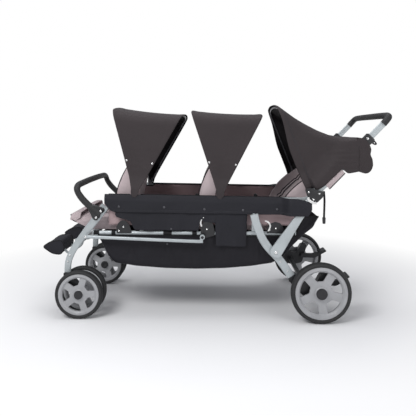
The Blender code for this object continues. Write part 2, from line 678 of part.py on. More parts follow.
def canopies():
    """Two wedge canopies, each a sheet between a moving front bow and a fixed rear bow."""
    proud = BOW_R + RUN
    rear_reach = BOW_RADIUS + BOW_REAR_Y - BOW_FRONT_Y
    for number, (pivot, front, rear) in enumerate(CANOPIES, 1):
        for place, y, reach, angle in (("front", BOW_FRONT_Y, BOW_RADIUS, front),
                                       ("rear", BOW_REAR_Y, rear_reach, rear)):
            hoop = lean(bow_line(y, reach, 0.0), pivot, angle)
            sweep(f"canopy_{number}_{place}_bow", hoop, round_section(BOW_R, 8), STEEL,
                  side=Vector((-math.sin(math.radians(angle)), 0, math.cos(math.radians(angle)))))
        sections = []
        corner = BOW_CORNER + proud
        lift_off = proud / math.cos(math.radians((front - rear) / 2))
        front_hoop = lean(bow_line(BOW_REAR_Y + proud, BOW_RADIUS + lift_off, CANOPY_CLEAR, corner),
                          pivot, front)
        rear_hoop = lean(bow_line(BOW_REAR_Y + proud, rear_reach + lift_off, CANOPY_CLEAR, corner),
                         pivot, rear)
        for t in (-0.015, 0.05, 0.35, 0.65, 0.95, 1.015):
            sag = max(0.0, 0.008 * 4 * t * (1 - t) - 0.0015)
            row = []
            for a, b in zip(front_hoop, rear_hoop):
                spot = a.lerp(b, t)
                lift = (a - Vector((pivot[0], a.y, pivot[1]))).length / BOW_RADIUS
                spot.z -= sag * max(0.0, lift - 0.93) / 0.07 if lift > 0.93 else 0.0
                row.append(spot)
            sections.append(row)
        cloth_shell(f"canopy_{number}_cloth", sections, CANOPY_CLOTH)


ARM_CLEAR = OUTER_IN + HANDLE_THICK + 0.0035
HOOD_SECTIONS = (
    # foot (X, Z) and top (X, Z) of the hood behind its bow, half width at foot and top, corner radius
    ((0.500, 0.716), (0.402, 1.003), BOW_FRONT_Y + 0.0331, BOW_FRONT_Y + 0.0091, 0.060),
    ((0.528, 0.726), (0.440, 0.979), ARM_CLEAR, BOW_FRONT_Y + 0.0171, 0.058),
    ((0.575, 0.712), (0.510, 0.939), ARM_CLEAR, BOW_FRONT_Y + 0.0351, 0.050),
    ((0.612, 0.742), (0.575, 0.913), ARM_CLEAR, OUTER_IN + 0.0090, 0.040),
    ((0.650, 0.725), (0.640, 0.900), ARM_CLEAR, ARM_CLEAR, 0.028),
    ((0.698, 0.727), (0.702, 0.894), ARM_CLEAR, ARM_CLEAR, 0.018),
)
HOOD_DROP = ((0.690, 0.894), (0.716, 0.884), (0.744, 0.866), (0.765, 0.838), (0.763, 0.808), (0.774, 0.785),
             (0.773, 0.752), (0.752, 0.7205), (0.712, 0.728), (0.690, 0.726))


def knees(line, height):
    """A hoop's points with one more point part way up each leg."""
    return [line[0], (line[0][0], height)] + line[1:-1] + [(line[-1][0], height), line[-1]]


def hood():
    """The rear hood: one bow in front, its sheet running back over the push handle's arms."""
    hoop = lean(bow_line(BOW_FRONT_Y, HOOD_REACH, 0.0), HOOD_PIVOT, HOOD_ANGLE)
    sweep("canopy_3_bow", hoop, round_section(BOW_R, 8), STEEL,
          side=Vector((-math.sin(math.radians(HOOD_ANGLE)), 0, math.cos(math.radians(HOOD_ANGLE)))))
    proud = BOW_R + RUN
    reach = HOOD_REACH + 2.4 * proud
    line = bow_line(BOW_FRONT_Y + 1.2 * proud, reach, CANOPY_CLEAR, BOW_CORNER + proud)
    sections = [lean(knees(line, 0.45 * reach), HOOD_PIVOT, HOOD_ANGLE)]
    for foot, top, half_foot, half_top, corner in HOOD_SECTIONS:
        foot, top = Vector(foot), Vector(top)
        reach = (top - foot).length
        angle = math.degrees(math.atan2(top.y - foot.y, top.x - foot.x))
        leg = reach - corner - 0.010
        line = knees(bow_line(half_top, reach, 0.0, corner, crown=0.010), 0.45 * leg)
        splayed = []
        for y, r in line:
            share = min(1.0, max(0.0, 1.9 * (1 - r / leg)))
            side = -1 if y < 0 else 1
            splayed.append((y + side * (half_foot - half_top) * share, r))
        sections.append(lean(splayed, foot, angle))
    ahead = [a + Vector((a.x - b.x, 0, a.z - b.z)) * 0.07 for a, b in zip(sections[0], sections[1])]
    cloth_shell("canopy_3_cloth", [ahead] + sections, CANOPY_CLOTH)
    reach = OUTER_IN - 0.0065
    drop = plate("drop", rounded(HOOD_DROP, 0.012), -reach, reach, CANOPY_CLOTH)
    middle = Vector((0.668, 0.806))
    inner = [tuple(Vector(p) + (middle - Vector(p)).normalized() * 0.0035) for p in HOOD_DROP]
    inner[0] = (0.640, inner[0][1])
    inner[-1] = (0.640, inner[-1][1])
    hollow = plate("hollow", rounded(inner, 0.010), -reach + CLOTH, reach - CLOTH, CANOPY_CLOTH)
    combine(drop, [hollow], "DIFFERENCE")
    combine(bpy.data.objects["canopy_3_cloth"], [drop])


def seat_point(row, along, front):
    """A point of a seat back: distance up the back from the recline axis, and out of its front."""
    (x, z), degrees, _ = ROWS[row]
    angle = math.radians(degrees)
    return (x + along * math.cos(angle) - front * math.sin(angle),
            z + along * math.sin(angle) + front * math.cos(angle))


def hump(t, sharp=0.5):
    """0 at both ends and 1 in the middle, as a stuffed pad swells."""
    return max(0.0, math.sin(math.pi * min(1.0, max(0.0, t)))) ** sharp


def closed_loft(name, rings, mat):
    """Skin closed rings of points into one body with flat ends."""
    bm = bmesh.new()
    rings = [[bm.verts.new(p) for p in ring] for ring in rings]
    ring_faces(bm, rings)
    bm.faces.new(rings[0])
    bm.faces.new(rings[-1])
    return add(name, bm, mat)


def back_ring(row, y, across, wing):
    """One slice of a seat back at a distance y from the middle; across runs from 0 to 1."""
    length = ROWS[row][2]
    steps = 11
    rear = BACK_AHEAD - BACK_THICK / 2
    pull = 0.006 * (1 - hump(across, 0.35))
    foot = BACK_FOOT[row]
    ring = []
    for i in range(steps + 1):
        t = i / steps
        along = foot + (length - foot - pull) * t
        crown = BACK_CROWN * hump(across) * hump(t)
        seam = CHANNEL * hump(across) * sum(math.exp(-((t - s) / 0.022) ** 2) for s in (0.36, 0.66))
        raised = WING_DEPTH * wing * hump((t - 0.10) / 0.95, 0.7) * (1 - 0.45 * t)
        front = BACK_AHEAD + BACK_THICK / 2 * hump(0.06 + 0.88 * t, 0.4) + crown - seam + raised
        ring.append(seat_point(row, along, front))
    for i in (steps, steps * 0.8, steps * 0.5, steps * 0.2, 0):
        t = i / steps
        along = foot + (length - foot - pull) * t
        bulge = 0.35 * BACK_CROWN * hump(across) * hump(t)
        ring.append(seat_point(row, along, rear + BACK_THICK / 2 * (1 - hump(0.06 + 0.88 * t, 0.4)) - bulge))
    return [(x, y, z) for x, z in ring]


def seat_backs():
    """Six winged backs with a crowned, twice stitched pad, each turning on its row's rod."""
    width = SEAT_HALF - SEAT_SPLIT / 2
    wing_in = width - WING_WALL
    stations = [(0.0, 0.0), (0.006, 0.0), (0.030, 0.0), (width * 0.45, 0.0), (wing_in - 0.026, 0.0),
                (wing_in - 0.008, 0.22), (wing_in + 0.004, 1.0), (width - 0.008, 1.0), (width, 0.75)]
    for row in range(len(ROWS)):
        for side in (-1, 1):
            rings = [back_ring(row, side * (SEAT_SPLIT / 2 + d), d / width, wing) for d, wing in stations]
            back = closed_loft(f"seat_back_{row + 1}_{side_name(side)}", rings, SEAT_CLOTH)
            if BACK_FOOT[row] > ROD_R:
                continue
            (x, z), _, _ = ROWS[row]
            y0, y1 = sorted((side * (SEAT_SPLIT / 2 - 0.01), side * (SEAT_HALF + 0.01)))
            bore = cylinder("bore", x, z, y0, y1, ROD_R + SLEEVE, SEAT_CLOTH, 16)
            combine(back, [bore], "DIFFERENCE")


HEM = 0.07
HEM_REACH = RAIL_Y - 0.0047
# Share of its depth by which a cushion's upper rear edge stays clear of the raised seat back
REAR_EASE = 0.060


def cushion_ring(row, y, share, across, base):
    """One slice of a double cushion; across runs from 0 to 1 over each of its two seats."""
    (x, _), _, _ = ROWS[row]
    rear = x - BACK_THICK / 2 - 0.016
    front = rear - SEAT_DEPTH
    steps = 8
    ring = [(rear, base)]
    for i in range(steps + 1):
        t = i / steps
        top = SEAT_THICK - 0.008 + 0.010 * hump(across) * hump(0.05 + 0.9 * t) + 0.006 * t
        top -= CHANNEL * hump(across) * math.exp(-((t - 0.5) / 0.04) ** 2)
        top *= 0.80 + 0.20 * hump(0.04 + 0.92 * t, 0.35)
        ring.append((rear + (front - rear) * max(t, REAR_EASE if share > HEM else 0.0), base + top))
    if row == 0:
        ring[-1] = (-0.690, 0.512 - 0.004 * (1 - hump(across)))
        ring += [(-0.726, 0.508), (-0.742, 0.4955), (-0.700, 0.470), (-0.640, base + 0.004), (-0.625, base)]
    else:
        ring.append((front + 0.006, base))
    drop = 0.0012 if share == HEM and y == math.copysign(HEM_REACH, y) else 0.0
    return [(px, y, base + (pz - base) * share - drop) for px, pz in ring]


def seat_cushions():
    """One double cushion for each row, sewn down between its seats; the first has the calf flaps."""
    base = SEAT_RAIL_Z + SEAT_RAIL_R + GAP
    for row in range(len(ROWS)):
        half = []
        for across, share in ((0.0, 0.88), (0.07, 1.0), (0.28, 1.0), (0.60, 1.0), (0.86, 1.0), (0.97, 0.88), (1.0, 0.72)):
            half.append((across * SEAT_HALF, share, across))
        if row > 0:
            half += [(SEAT_HALF + 0.001, HEM, 1.0), (HEM_REACH, HEM, 1.0)]
        rings = [cushion_ring(row, -y, share, across, base) for y, share, across in reversed(half[1:])]
        rings += [cushion_ring(row, y, share, across, base) for y, share, across in half]
        closed_loft(f"seat_cushion_{row + 1}", rings, SEAT_CLOTH)


# Lower edge of each side cover (X, Z) and its straight upper edge
COVER_LOW = ((-0.5535, 0.560), (-0.530, 0.524), (-0.500, 0.524), (-0.470, 0.492), (-0.423, 0.476),
             (-0.408, 0.440), (-0.400, 0.432), (-0.084, 0.432), (-0.077, 0.478), (-0.001, 0.471), (0.001, 0.358),
             (0.010, 0.3545), (0.146, 0.352), (0.152, 0.358), (0.160, 0.5175), (0.176, 0.5175), (0.180, 0.524),
             (0.200, 0.524), (0.204, 0.516), (0.458, 0.512))
COVER_HIGH = ((-0.5535, 0.612), (0.460, 0.596))
COVER_CLOTH_WALL = 0.004


def read_line(points, x):
    """Height of a broken line at x."""
    for (x0, z0), (x1, z1) in zip(points, points[1:]):
        if x <= x1:
            return z0 + (z1 - z0) * max(0.0, x - x0) / (x1 - x0)
    return points[-1][1]


def cover_fold(x, drop):
    """How far the cloth stands out at x; drop is 0 at its upper edge and 1 at its hem."""
    room = COVER_WALL - COVER_CLOTH_WALL
    wave = 0.5 + 0.5 * math.sin(2 * math.pi * (x / 0.118 + 0.32 * drop) + 1.4 * math.sin(7 * x))
    return room * (0.10 + 0.90 * (0.35 + 0.65 * wave) * drop ** 0.8)


def side_covers():
    """Fabric side panels over the top rails: a snap band and a skirt that hangs in soft folds."""
    stops = sorted({x for x, _ in COVER_LOW} | {-0.5535 + (0.458 + 0.5535) * i / 26 for i in range(27)})
    columns = [stops[0]]
    for x in stops[1:]:
        if x - columns[-1] > 0.006 or any(abs(x - low) < 1e-9 for low, _ in COVER_LOW):
            columns.append(x)
    rows = 4
    for side in (-1, 1):
        rings = []
        for x in columns:
            low, high = read_line(COVER_LOW, x), read_line(COVER_HIGH, x)
            outer, inner = [], []
            for i in range(rows + 1):
                z = high + (low - high) * i / rows
                y = COVER_IN + cover_fold(x, (high - z) / 0.26)
                inner.append((x, side * y, z))
                outer.append((x, side * (y + COVER_CLOTH_WALL), z))
            rings.append(outer + inner[::-1])
        closed_loft(f"side_cover_{side_name(side)}", rings, COVER_CLOTH)


BASKET_TOP = SEAT_RAIL_Z - SEAT_RAIL_R - GAP
BASKET_WALL = 0.003
# The sling's lower line in side view (X, Z), from its front rim to its raised rear rim
BASKET_LOW = ((-0.590, 0.402), (-0.568, 0.352), (-0.538, 0.295), (-0.505, 0.262), (-0.400, 0.2465),
              (-0.250, 0.2360), (-0.100, 0.2330), (0.050, 0.2375), (0.180, 0.2495), (0.280, 0.2650),
              (0.330, 0.2870), (0.378, 0.3450), (0.4435, 0.4100), (0.488, 0.4440), (0.513, 0.4980))
BASKET_HIGH = ((-0.590, BASKET_TOP), (0.404, BASKET_TOP), (0.424, 0.470), (0.446, 0.503), (0.513, 0.505))


def basket():
    """The open sling basket: it sags between the rails and turns up behind the rear seats."""
    half = RAIL_Y + 0.006 - BASKET_WALL
    sections = []
    for x in sorted({x for x, _ in BASKET_LOW} | {x for x, _ in BASKET_HIGH}):
        low, high = read_line(BASKET_LOW, x), read_line(BASKET_HIGH, x)
        deep = high - low
        corner = min(0.035, deep * 0.6)
        belly = min(1.0, deep / 0.12)
        fold = 0.0022 * math.sin(2 * math.pi * x / 0.145 + 0.6) * belly
        line = []
        for k in range(3):
            t = k / 2
            pinch = (0.004 + fold) * math.sin(math.pi * min(1.0, 0.15 + 0.85 * t)) * belly
            line.append((-half + max(0.0, pinch), high - (deep - corner) * t))
        for k in range(1, 3):
            angle = math.pi / 2 * k / 2
            line.append((-half + corner * (1 - math.cos(angle)) + 0.001, low + corner * (1 - math.sin(angle))))
        flat = half - corner
        for t in (-0.5, 0.0):
            sag = 0.008 * (1 - t * t) * belly + fold * 0.8 * math.sin(3 * t + 9 * x)
            line.append((flat * t, low - sag))
        line += [(-y, z) for y, z in reversed(line[:-1])]
        sections.append([Vector((x, y, z)) for y, z in line])
    cloth_shell("basket", sections, BASKET_CLOTH, BASKET_WALL)


def rear_wheels():
    for side in (-1, 1):
        centre = (REAR_X, side * REAR_Y, REAR_R)
        wheel(f"rear_{side_name(side)}", centre, side, REAR_R, REAR_RIM_R, REAR_HALF, 25, 95, 0.030)


front_wheels_and_casters()
rear_wheels()
front_legs()
footrests()
front_grip()
top_rails()
seat_rails()
cross_rods()
links()
rear_legs_and_axle()
brake_pedals()
rear_struts()
push_handle()
canopies()
hood()
seat_backs()
seat_cushions()
side_covers()
basket()
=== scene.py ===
# %% [markdown]
# # A six-seat stroller, dressed over its working frame
#
# The frame that is loaded first holds every tube, wheel and joint at its real size. This lesson gives each
# piece its finish: foam grips, painted tubes, woven cloth and padded seats. All lengths are in metres, the
# front of the stroller looks along -X and the near side is at -Y.

# %% Load the frame
import math

import bpy
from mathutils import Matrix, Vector


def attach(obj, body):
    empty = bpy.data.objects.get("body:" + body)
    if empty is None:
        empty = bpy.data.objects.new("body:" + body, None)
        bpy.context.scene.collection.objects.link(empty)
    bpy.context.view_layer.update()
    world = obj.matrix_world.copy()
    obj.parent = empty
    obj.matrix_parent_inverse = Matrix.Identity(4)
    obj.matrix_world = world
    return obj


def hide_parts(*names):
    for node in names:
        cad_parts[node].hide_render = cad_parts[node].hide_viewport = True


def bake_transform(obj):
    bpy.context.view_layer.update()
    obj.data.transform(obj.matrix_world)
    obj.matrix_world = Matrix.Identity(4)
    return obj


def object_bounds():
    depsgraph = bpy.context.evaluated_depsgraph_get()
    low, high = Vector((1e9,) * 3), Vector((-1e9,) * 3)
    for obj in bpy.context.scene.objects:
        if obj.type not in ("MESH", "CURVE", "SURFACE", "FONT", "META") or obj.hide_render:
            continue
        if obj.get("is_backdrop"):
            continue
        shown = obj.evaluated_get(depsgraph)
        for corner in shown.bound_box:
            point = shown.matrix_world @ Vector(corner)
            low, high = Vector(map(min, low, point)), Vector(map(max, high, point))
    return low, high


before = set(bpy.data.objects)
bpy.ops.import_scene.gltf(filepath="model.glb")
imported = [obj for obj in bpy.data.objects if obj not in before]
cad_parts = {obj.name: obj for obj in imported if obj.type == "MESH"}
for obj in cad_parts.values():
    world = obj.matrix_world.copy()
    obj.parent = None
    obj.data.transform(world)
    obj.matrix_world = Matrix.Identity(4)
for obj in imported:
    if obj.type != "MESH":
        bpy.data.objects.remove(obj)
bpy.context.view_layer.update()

# %% [markdown]
# The camera stands a little above the canopies' tops beside the middle of the stroller. Keeping it level
# and shifting the picture down, as a view camera does, holds the wheels round and the legs upright.

# %% Camera
PICTURE_WIDTH = 416
FOCAL_PIXELS = 486
HORIZON_ROW = 132
CAMERA_PLACE = (0.018, -2.707, 0.922)
CAMERA_YAW = 1.3
SENSOR = 36

camera_data = bpy.data.cameras.new("camera")
camera_data.sensor_width = SENSOR
camera_data.lens = FOCAL_PIXELS / PICTURE_WIDTH * SENSOR
camera_data.shift_y = (HORIZON_ROW - PICTURE_WIDTH / 2) / PICTURE_WIDTH
camera = bpy.data.objects.new("camera", camera_data)
camera.location = CAMERA_PLACE
camera.rotation_euler = (math.radians(90), 0, math.radians(CAMERA_YAW))
bpy.context.scene.collection.objects.link(camera)
bpy.context.scene.camera = camera
print("lens", round(camera_data.lens, 1), "mm")

# %% [markdown]
# The same few moves return for every piece, so they become helpers. A primitive grid is added with an
# operator and each of its points is then moved to its place on the real surface: wrapped into a tube,
# turned into a wheel or hung as a sheet. Its UV map is stretched to real metres, so that a weave keeps its
# scale whatever the piece.


# %% Helpers that add and finish a mesh
def only(obj):
    """Make one object the whole selection, so that an operator touches nothing else."""
    bpy.ops.object.select_all(action="DESELECT")
    obj.select_set(True)
    bpy.context.view_layer.objects.active = obj


def settle(obj, angle=40):
    """Merge doubles, turn faces outwards and smooth what isn't an edge."""
    only(obj)
    bpy.ops.object.mode_set(mode="EDIT")
    bpy.ops.mesh.select_all(action="SELECT")
    bpy.ops.mesh.remove_doubles(threshold=0.00002)
    bpy.ops.mesh.normals_make_consistent(inside=False)
    bpy.ops.object.mode_set(mode="OBJECT")
    bpy.ops.object.shade_smooth_by_angle(angle=math.radians(angle))
    return obj


def apply_all(obj):
    only(obj)
    for modifier in list(obj.modifiers):
        bpy.ops.object.modifier_apply(modifier=modifier.name)
    return obj


def grid_piece(name, across, along, place, size=(1.0, 1.0)):
    """A grid of faces whose points go where place(u, v) says, with u and v from 0 to 1."""
    bpy.ops.object.select_all(action="DESELECT")
    bpy.ops.mesh.primitive_grid_add(x_subdivisions=across, y_subdivisions=along, size=1.0)
    obj = bpy.context.object
    obj.name = name
    obj.data.name = name
    for vert in obj.data.vertices:
        vert.co = Vector(place(vert.co.x + 0.5, vert.co.y + 0.5))
    for corner in obj.data.uv_layers.active.data:
        corner.uv = (corner.uv[0] * size[0], corner.uv[1] * size[1])
    return obj


def thicken(obj, wall, offset=-1.0, rounds=0):
    """Give a sheet its wall, then round it by subdivision if asked."""
    only(obj)
    bpy.ops.object.modifier_add(type="SOLIDIFY")
    solid = obj.modifiers[-1]
    solid.thickness = wall
    solid.offset = offset
    if rounds:
        bpy.ops.object.modifier_add(type="SUBSURF")
        soft = obj.modifiers[-1]
        soft.levels = rounds
        soft.render_levels = rounds
    return apply_all(obj)


def finish(obj, material):
    """Give a mesh one material and no other."""
    obj.data.materials.clear()
    obj.data.materials.append(material)


def dress(obj, body, material, replaced=()):
    """Finish and seat one piece, and hide the parts it stands in for."""
    finish(obj, material)
    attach(obj, body)
    if replaced:
        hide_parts(*replaced)
    return obj


def join(first, others):
    """Put several meshes into one object."""
    bpy.ops.object.select_all(action="DESELECT")
    for other in others:
        other.select_set(True)
    first.select_set(True)
    bpy.context.view_layer.objects.active = first
    bpy.ops.object.join()
    return first


def smooth_line(points, count):
    """A curve through given points, read at even steps of its length."""
    knots = [Vector(p) for p in points]
    knots = [knots[0] * 2 - knots[1]] + knots + [knots[-1] * 2 - knots[-2]]
    dense = []
    fine = 24
    for i in range(1, len(knots) - 2):
        a, b, c, d = knots[i - 1:i + 3]
        for k in range(fine):
            t = k / fine
            dense.append(0.5 * ((2 * b) + (c - a) * t + (2 * a - 5 * b + 4 * c - d) * t * t
                                + (3 * b - a - 3 * c + d) * t ** 3))
    dense.append(knots[-2])
    lengths = [0.0]
    for a, b in zip(dense, dense[1:]):
        lengths.append(lengths[-1] + (b - a).length)
    line = []
    k = 0
    for i in range(count + 1):
        target = lengths[-1] * i / count
        while k < len(dense) - 2 and lengths[k + 1] < target:
            k += 1
        gap = lengths[k + 1] - lengths[k]
        t = (target - lengths[k]) / gap if gap > 0 else 0.0
        line.append(dense[k].lerp(dense[k + 1], min(max(t, 0.0), 1.0)))
    return line


def line_length(line):
    return sum((b - a).length for a, b in zip(line, line[1:]))


def swept(name, line, section, sides, side=Vector((0, 1, 0)), scale=None, cap=True):
    """A tube along a line; section(angle) gives its half sizes along side and across it."""
    count = len(line) - 1
    frames = []
    last_side = side
    for i in range(count + 1):
        ahead = (line[min(i + 1, count)] - line[max(i - 1, 0)]).normalized()
        first = (last_side - ahead * last_side.dot(ahead)).normalized()
        last_side = first
        frames.append((line[i], first, ahead.cross(first)))

    def place(u, v):
        i = round(v * count)
        spot, first, second = frames[i]
        a, b = section(2 * math.pi * u)
        grow = scale(v) if scale else 1.0
        return spot + first * a * grow + second * b * grow

    obj = grid_piece(name, sides, count, place, (0.1, line_length(line)))
    settle(obj)
    if cap:
        close_holes(obj)
    return obj


def close_holes(obj):
    only(obj)
    bpy.ops.object.mode_set(mode="EDIT")
    bpy.ops.mesh.select_all(action="DESELECT")
    bpy.ops.mesh.select_non_manifold(extend=False, use_wire=False, use_multi_face=False,
                                     use_non_contiguous=False, use_verts=False)
    bpy.ops.mesh.edge_face_add()
    bpy.ops.mesh.select_all(action="SELECT")
    bpy.ops.mesh.normals_make_consistent(inside=False)
    bpy.ops.object.mode_set(mode="OBJECT")
    bpy.ops.object.shade_smooth_by_angle(angle=math.radians(40))
    return obj


def circle(radius):
    return lambda angle: (radius * math.cos(angle), radius * math.sin(angle))


def flat_oval(thick, width):
    """The section of a flattened tube: round edges and slightly domed flanks."""
    def section(angle):
        c, s = math.cos(angle), math.sin(angle)
        power = 0.55
        return (thick / 2 * math.copysign(abs(c) ** power, c), width / 2 * math.copysign(abs(s) ** 0.8, s))
    return section


def turned(name, profile, steps, centre, out):
    """A profile of (radius, offset) points turned about a line along Y, closed on itself."""
    count = len(profile) - 1

    def place(u, v):
        radius, offset = profile[round(v * count)]
        angle = 2 * math.pi * u
        return (centre[0] + radius * math.cos(angle), centre[1] + out * offset,
                centre[2] + radius * math.sin(angle))

    return settle(grid_piece(name, steps, count, place, (0.6, 0.2)), 35)


def outlined(name, outline, y0, y1, edge=0.0, segments=2):
    """A flat plate in the XZ plane, extruded from a filled outline and with its edges eased."""
    bpy.ops.object.select_all(action="DESELECT")
    bpy.ops.mesh.primitive_circle_add(vertices=len(outline), radius=1.0, fill_type="NGON")
    obj = bpy.context.object
    obj.name = name
    for vert, (x, z) in zip(obj.data.vertices, outline):
        vert.co = (x, y0, z)
    only(obj)
    bpy.ops.object.mode_set(mode="EDIT")
    bpy.ops.mesh.select_all(action="SELECT")
    bpy.ops.mesh.extrude_region_move(TRANSFORM_OT_translate={"value": (0, y1 - y0, 0)})
    bpy.ops.mesh.select_all(action="SELECT")
    bpy.ops.mesh.normals_make_consistent(inside=False)
    bpy.ops.object.mode_set(mode="OBJECT")
    if edge:
        bpy.ops.object.modifier_add(type="BEVEL")
        bevel = obj.modifiers[-1]
        bevel.width = edge
        bevel.segments = segments
        bevel.limit_method = "ANGLE"
        apply_all(obj)
    bpy.ops.object.shade_smooth_by_angle(angle=math.radians(35))
    return obj


def rounded(outline, radius, steps=5):
    """Swap each corner of an outline for a short curve."""
    points = []
    count = len(outline)
    for i in range(count):
        corner = Vector(outline[i])
        back = Vector(outline[i - 1]) - corner
        ahead = Vector(outline[(i + 1) % count]) - corner
        reach = min(radius, back.length * 0.48, ahead.length * 0.48)
        start = corner + back.normalized() * reach
        end = corner + ahead.normalized() * reach
        for k in range(steps + 1):
            t = k / steps
            spot = start * (1 - t) ** 2 + corner * 2 * t * (1 - t) + end * t ** 2
            points.append((spot.x, spot.y))
    return points


def stud(name, x, z, y, out, radius, height, steps=20):
    """A domed rivet or snap head that stands on a surface facing out along Y."""
    rings = 5
    profile = [(0.0, -0.0010), (radius, -0.0010)]
    profile += [(radius * math.cos(math.pi / 2 * k / rings), height * math.sin(math.pi / 2 * k / rings))
                for k in range(rings + 1)]
    return turned(name, profile, steps, (x, y, z), out)


def rivet(name, x, z, y, out, radius, height, body, steps=20):
    """A bright stud that is finished and seated at once."""
    return dress(stud(name, x, z, y, out, radius, height, steps), body, CHROME)


def sheet_area(obj):
    return sum(face.area for face in obj.data.polygons)


def make_cloth(sheet, wall, rounds=0):
    """Smooth a sheet and give it its wall; returns the area it had as a single layer."""
    area = sheet_area(sheet)
    settle(sheet, 60)
    thicken(sheet, wall, 0.0, rounds)
    return area


# %% [markdown]
# Finishes come from nodes alone. Every one starts from a plain Principled shader and gets fine relief from
# noise or wave textures, read in metres from the object's own coordinates or its UV map.


# %% Finishes
def start_material(name, colour, roughness, metallic=0.0, sheen=0.0, coat=0.0):
    mat = bpy.data.materials.new(name)
    mat.use_nodes = True
    mat.diffuse_color = (*colour, 1)
    shader = mat.node_tree.nodes["Principled BSDF"]
    shader.inputs["Base Color"].default_value = (*colour, 1)
    shader.inputs["Roughness"].default_value = roughness
    shader.inputs["Metallic"].default_value = metallic
    shader.inputs["Sheen Weight"].default_value = sheen
    shader.inputs["Coat Weight"].default_value = coat
    return mat, mat.node_tree.nodes, mat.node_tree.links, shader


def noise_at(nodes, links, vector, scale, detail=3.0, rough=0.5):
    noise = nodes.new("ShaderNodeTexNoise")
    noise.inputs["Scale"].default_value = scale
    noise.inputs["Detail"].default_value = detail
    noise.inputs["Roughness"].default_value = rough
    links.new(vector, noise.inputs["Vector"])
    return noise


def spread(nodes, links, value, low, high):
    """Carry a 0 to 1 texture value to a chosen span."""
    span = nodes.new("ShaderNodeMapRange")
    span.inputs["To Min"].default_value = low
    span.inputs["To Max"].default_value = high
    links.new(value, span.inputs["Value"])
    return span.outputs["Result"]


def tint(nodes, links, shader, value, colour, dark, light):
    """Vary a colour between a darker and a lighter share of itself."""
    ramp = nodes.new("ShaderNodeValToRGB")
    ramp.color_ramp.elements[0].position = 0.3
    ramp.color_ramp.elements[1].position = 0.7
    ramp.color_ramp.elements[0].color = (*[c * dark for c in colour], 1)
    ramp.color_ramp.elements[1].color = (*[min(1, c * light) for c in colour], 1)
    links.new(value, ramp.inputs["Fac"])
    links.new(ramp.outputs["Color"], shader.inputs["Base Color"])


def relief(nodes, links, shader, layers):
    """Chain bump layers of (height socket, strength, depth in metres)."""
    last = None
    for height, strength, depth in layers:
        bump = nodes.new("ShaderNodeBump")
        bump.inputs["Strength"].default_value = strength
        bump.inputs["Distance"].default_value = depth
        links.new(height, bump.inputs["Height"])
        if last:
            links.new(last.outputs["Normal"], bump.inputs["Normal"])
        last = bump
    links.new(last.outputs["Normal"], shader.inputs["Normal"])


def hard_finish(name, colour, roughness, metallic=0.0, coat=0.0, grain=900.0, depth=0.0002, strength=0.25):
    """Paint, plastic or rubber: fine grain, slow colour drift and a roughness that isn't even."""
    mat, nodes, links, shader = start_material(name, colour, roughness, metallic, coat=coat)
    place = nodes.new("ShaderNodeTexCoord").outputs["Object"]
    fine = noise_at(nodes, links, place, grain)
    slow = noise_at(nodes, links, place, 14.0, 5.0)
    tint(nodes, links, shader, slow.outputs["Fac"], colour, 0.90, 1.08)
    links.new(spread(nodes, links, slow.outputs["Fac"], roughness - 0.07, roughness + 0.09),
              shader.inputs["Roughness"])
    relief(nodes, links, shader, [(fine.outputs["Fac"], strength, depth)])
    return mat


def cloth_finish(name, colour, threads=1400.0, roughness=0.9, sheen=0.25, crumple=0.35, shade=(0.82, 1.16)):
    """Woven cloth: warp and weft as two crossed waves, soft crumples and a slow drift of colour."""
    mat, nodes, links, shader = start_material(name, colour, roughness, sheen=sheen)
    shader.inputs["Sheen Roughness"].default_value = 0.5
    shader.inputs["Specular IOR Level"].default_value = 0.24
    texture = nodes.new("ShaderNodeTexCoord")
    waves = []
    for direction in ("X", "Y"):
        wave = nodes.new("ShaderNodeTexWave")
        wave.wave_type = "BANDS"
        wave.bands_direction = direction
        wave.inputs["Scale"].default_value = threads / 20
        wave.inputs["Distortion"].default_value = 0.6
        wave.inputs["Detail"].default_value = 1.0
        links.new(texture.outputs["UV"], wave.inputs["Vector"])
        waves.append(wave)
    weave = nodes.new("ShaderNodeMath")
    weave.operation = "MAXIMUM"
    links.new(waves[0].outputs["Fac"], weave.inputs[0])
    links.new(waves[1].outputs["Fac"], weave.inputs[1])
    soft = noise_at(nodes, links, texture.outputs["Object"], 11.0, 6.0, 0.6)
    blot = noise_at(nodes, links, texture.outputs["Object"], 4.0, 4.0)
    mix = nodes.new("ShaderNodeMath")
    mix.operation = "MULTIPLY_ADD"
    mix.inputs[1].default_value = 0.25
    links.new(weave.outputs[0], mix.inputs[0])
    links.new(blot.outputs["Fac"], mix.inputs[2])
    tint(nodes, links, shader, mix.outputs[0], colour, *shade)
    relief(nodes, links, shader, [(soft.outputs["Fac"], crumple, 0.012), (weave.outputs[0], 0.35, 0.0004)])
    return mat


PAINT = hard_finish("silver_paint", (0.40, 0.435, 0.45), 0.36, metallic=0.25, coat=0.25)
RIM = hard_finish("rim_plastic", (0.33, 0.333, 0.345), 0.42, coat=0.1)
TYRE = hard_finish("tyre_rubber", (0.016, 0.016, 0.017), 0.72, grain=500, depth=0.0005, strength=0.5)
FOAM = hard_finish("grip_foam", (0.013, 0.013, 0.014), 0.66, grain=420, depth=0.0007, strength=0.6)
PLASTIC = hard_finish("black_plastic", (0.013, 0.013, 0.015), 0.42, grain=700)
STEEL = hard_finish("dark_steel", (0.09, 0.09, 0.10), 0.34, metallic=0.8)
CHROME = hard_finish("bright_metal", (0.72, 0.72, 0.72), 0.22, metallic=0.9)
CANOPY = cloth_finish("canopy_cloth", (0.030, 0.0245, 0.0260), roughness=0.75, sheen=0.0)
LINING = cloth_finish("canopy_lining", (0.006, 0.005, 0.006), sheen=0.0)
COVER = cloth_finish("cover_cloth", (0.0125, 0.0125, 0.0165), roughness=0.68, sheen=0.0, crumple=0.5)
BASKET = cloth_finish("basket_cloth", (0.0075, 0.0070, 0.0100), roughness=0.62, sheen=0.0, crumple=0.7)
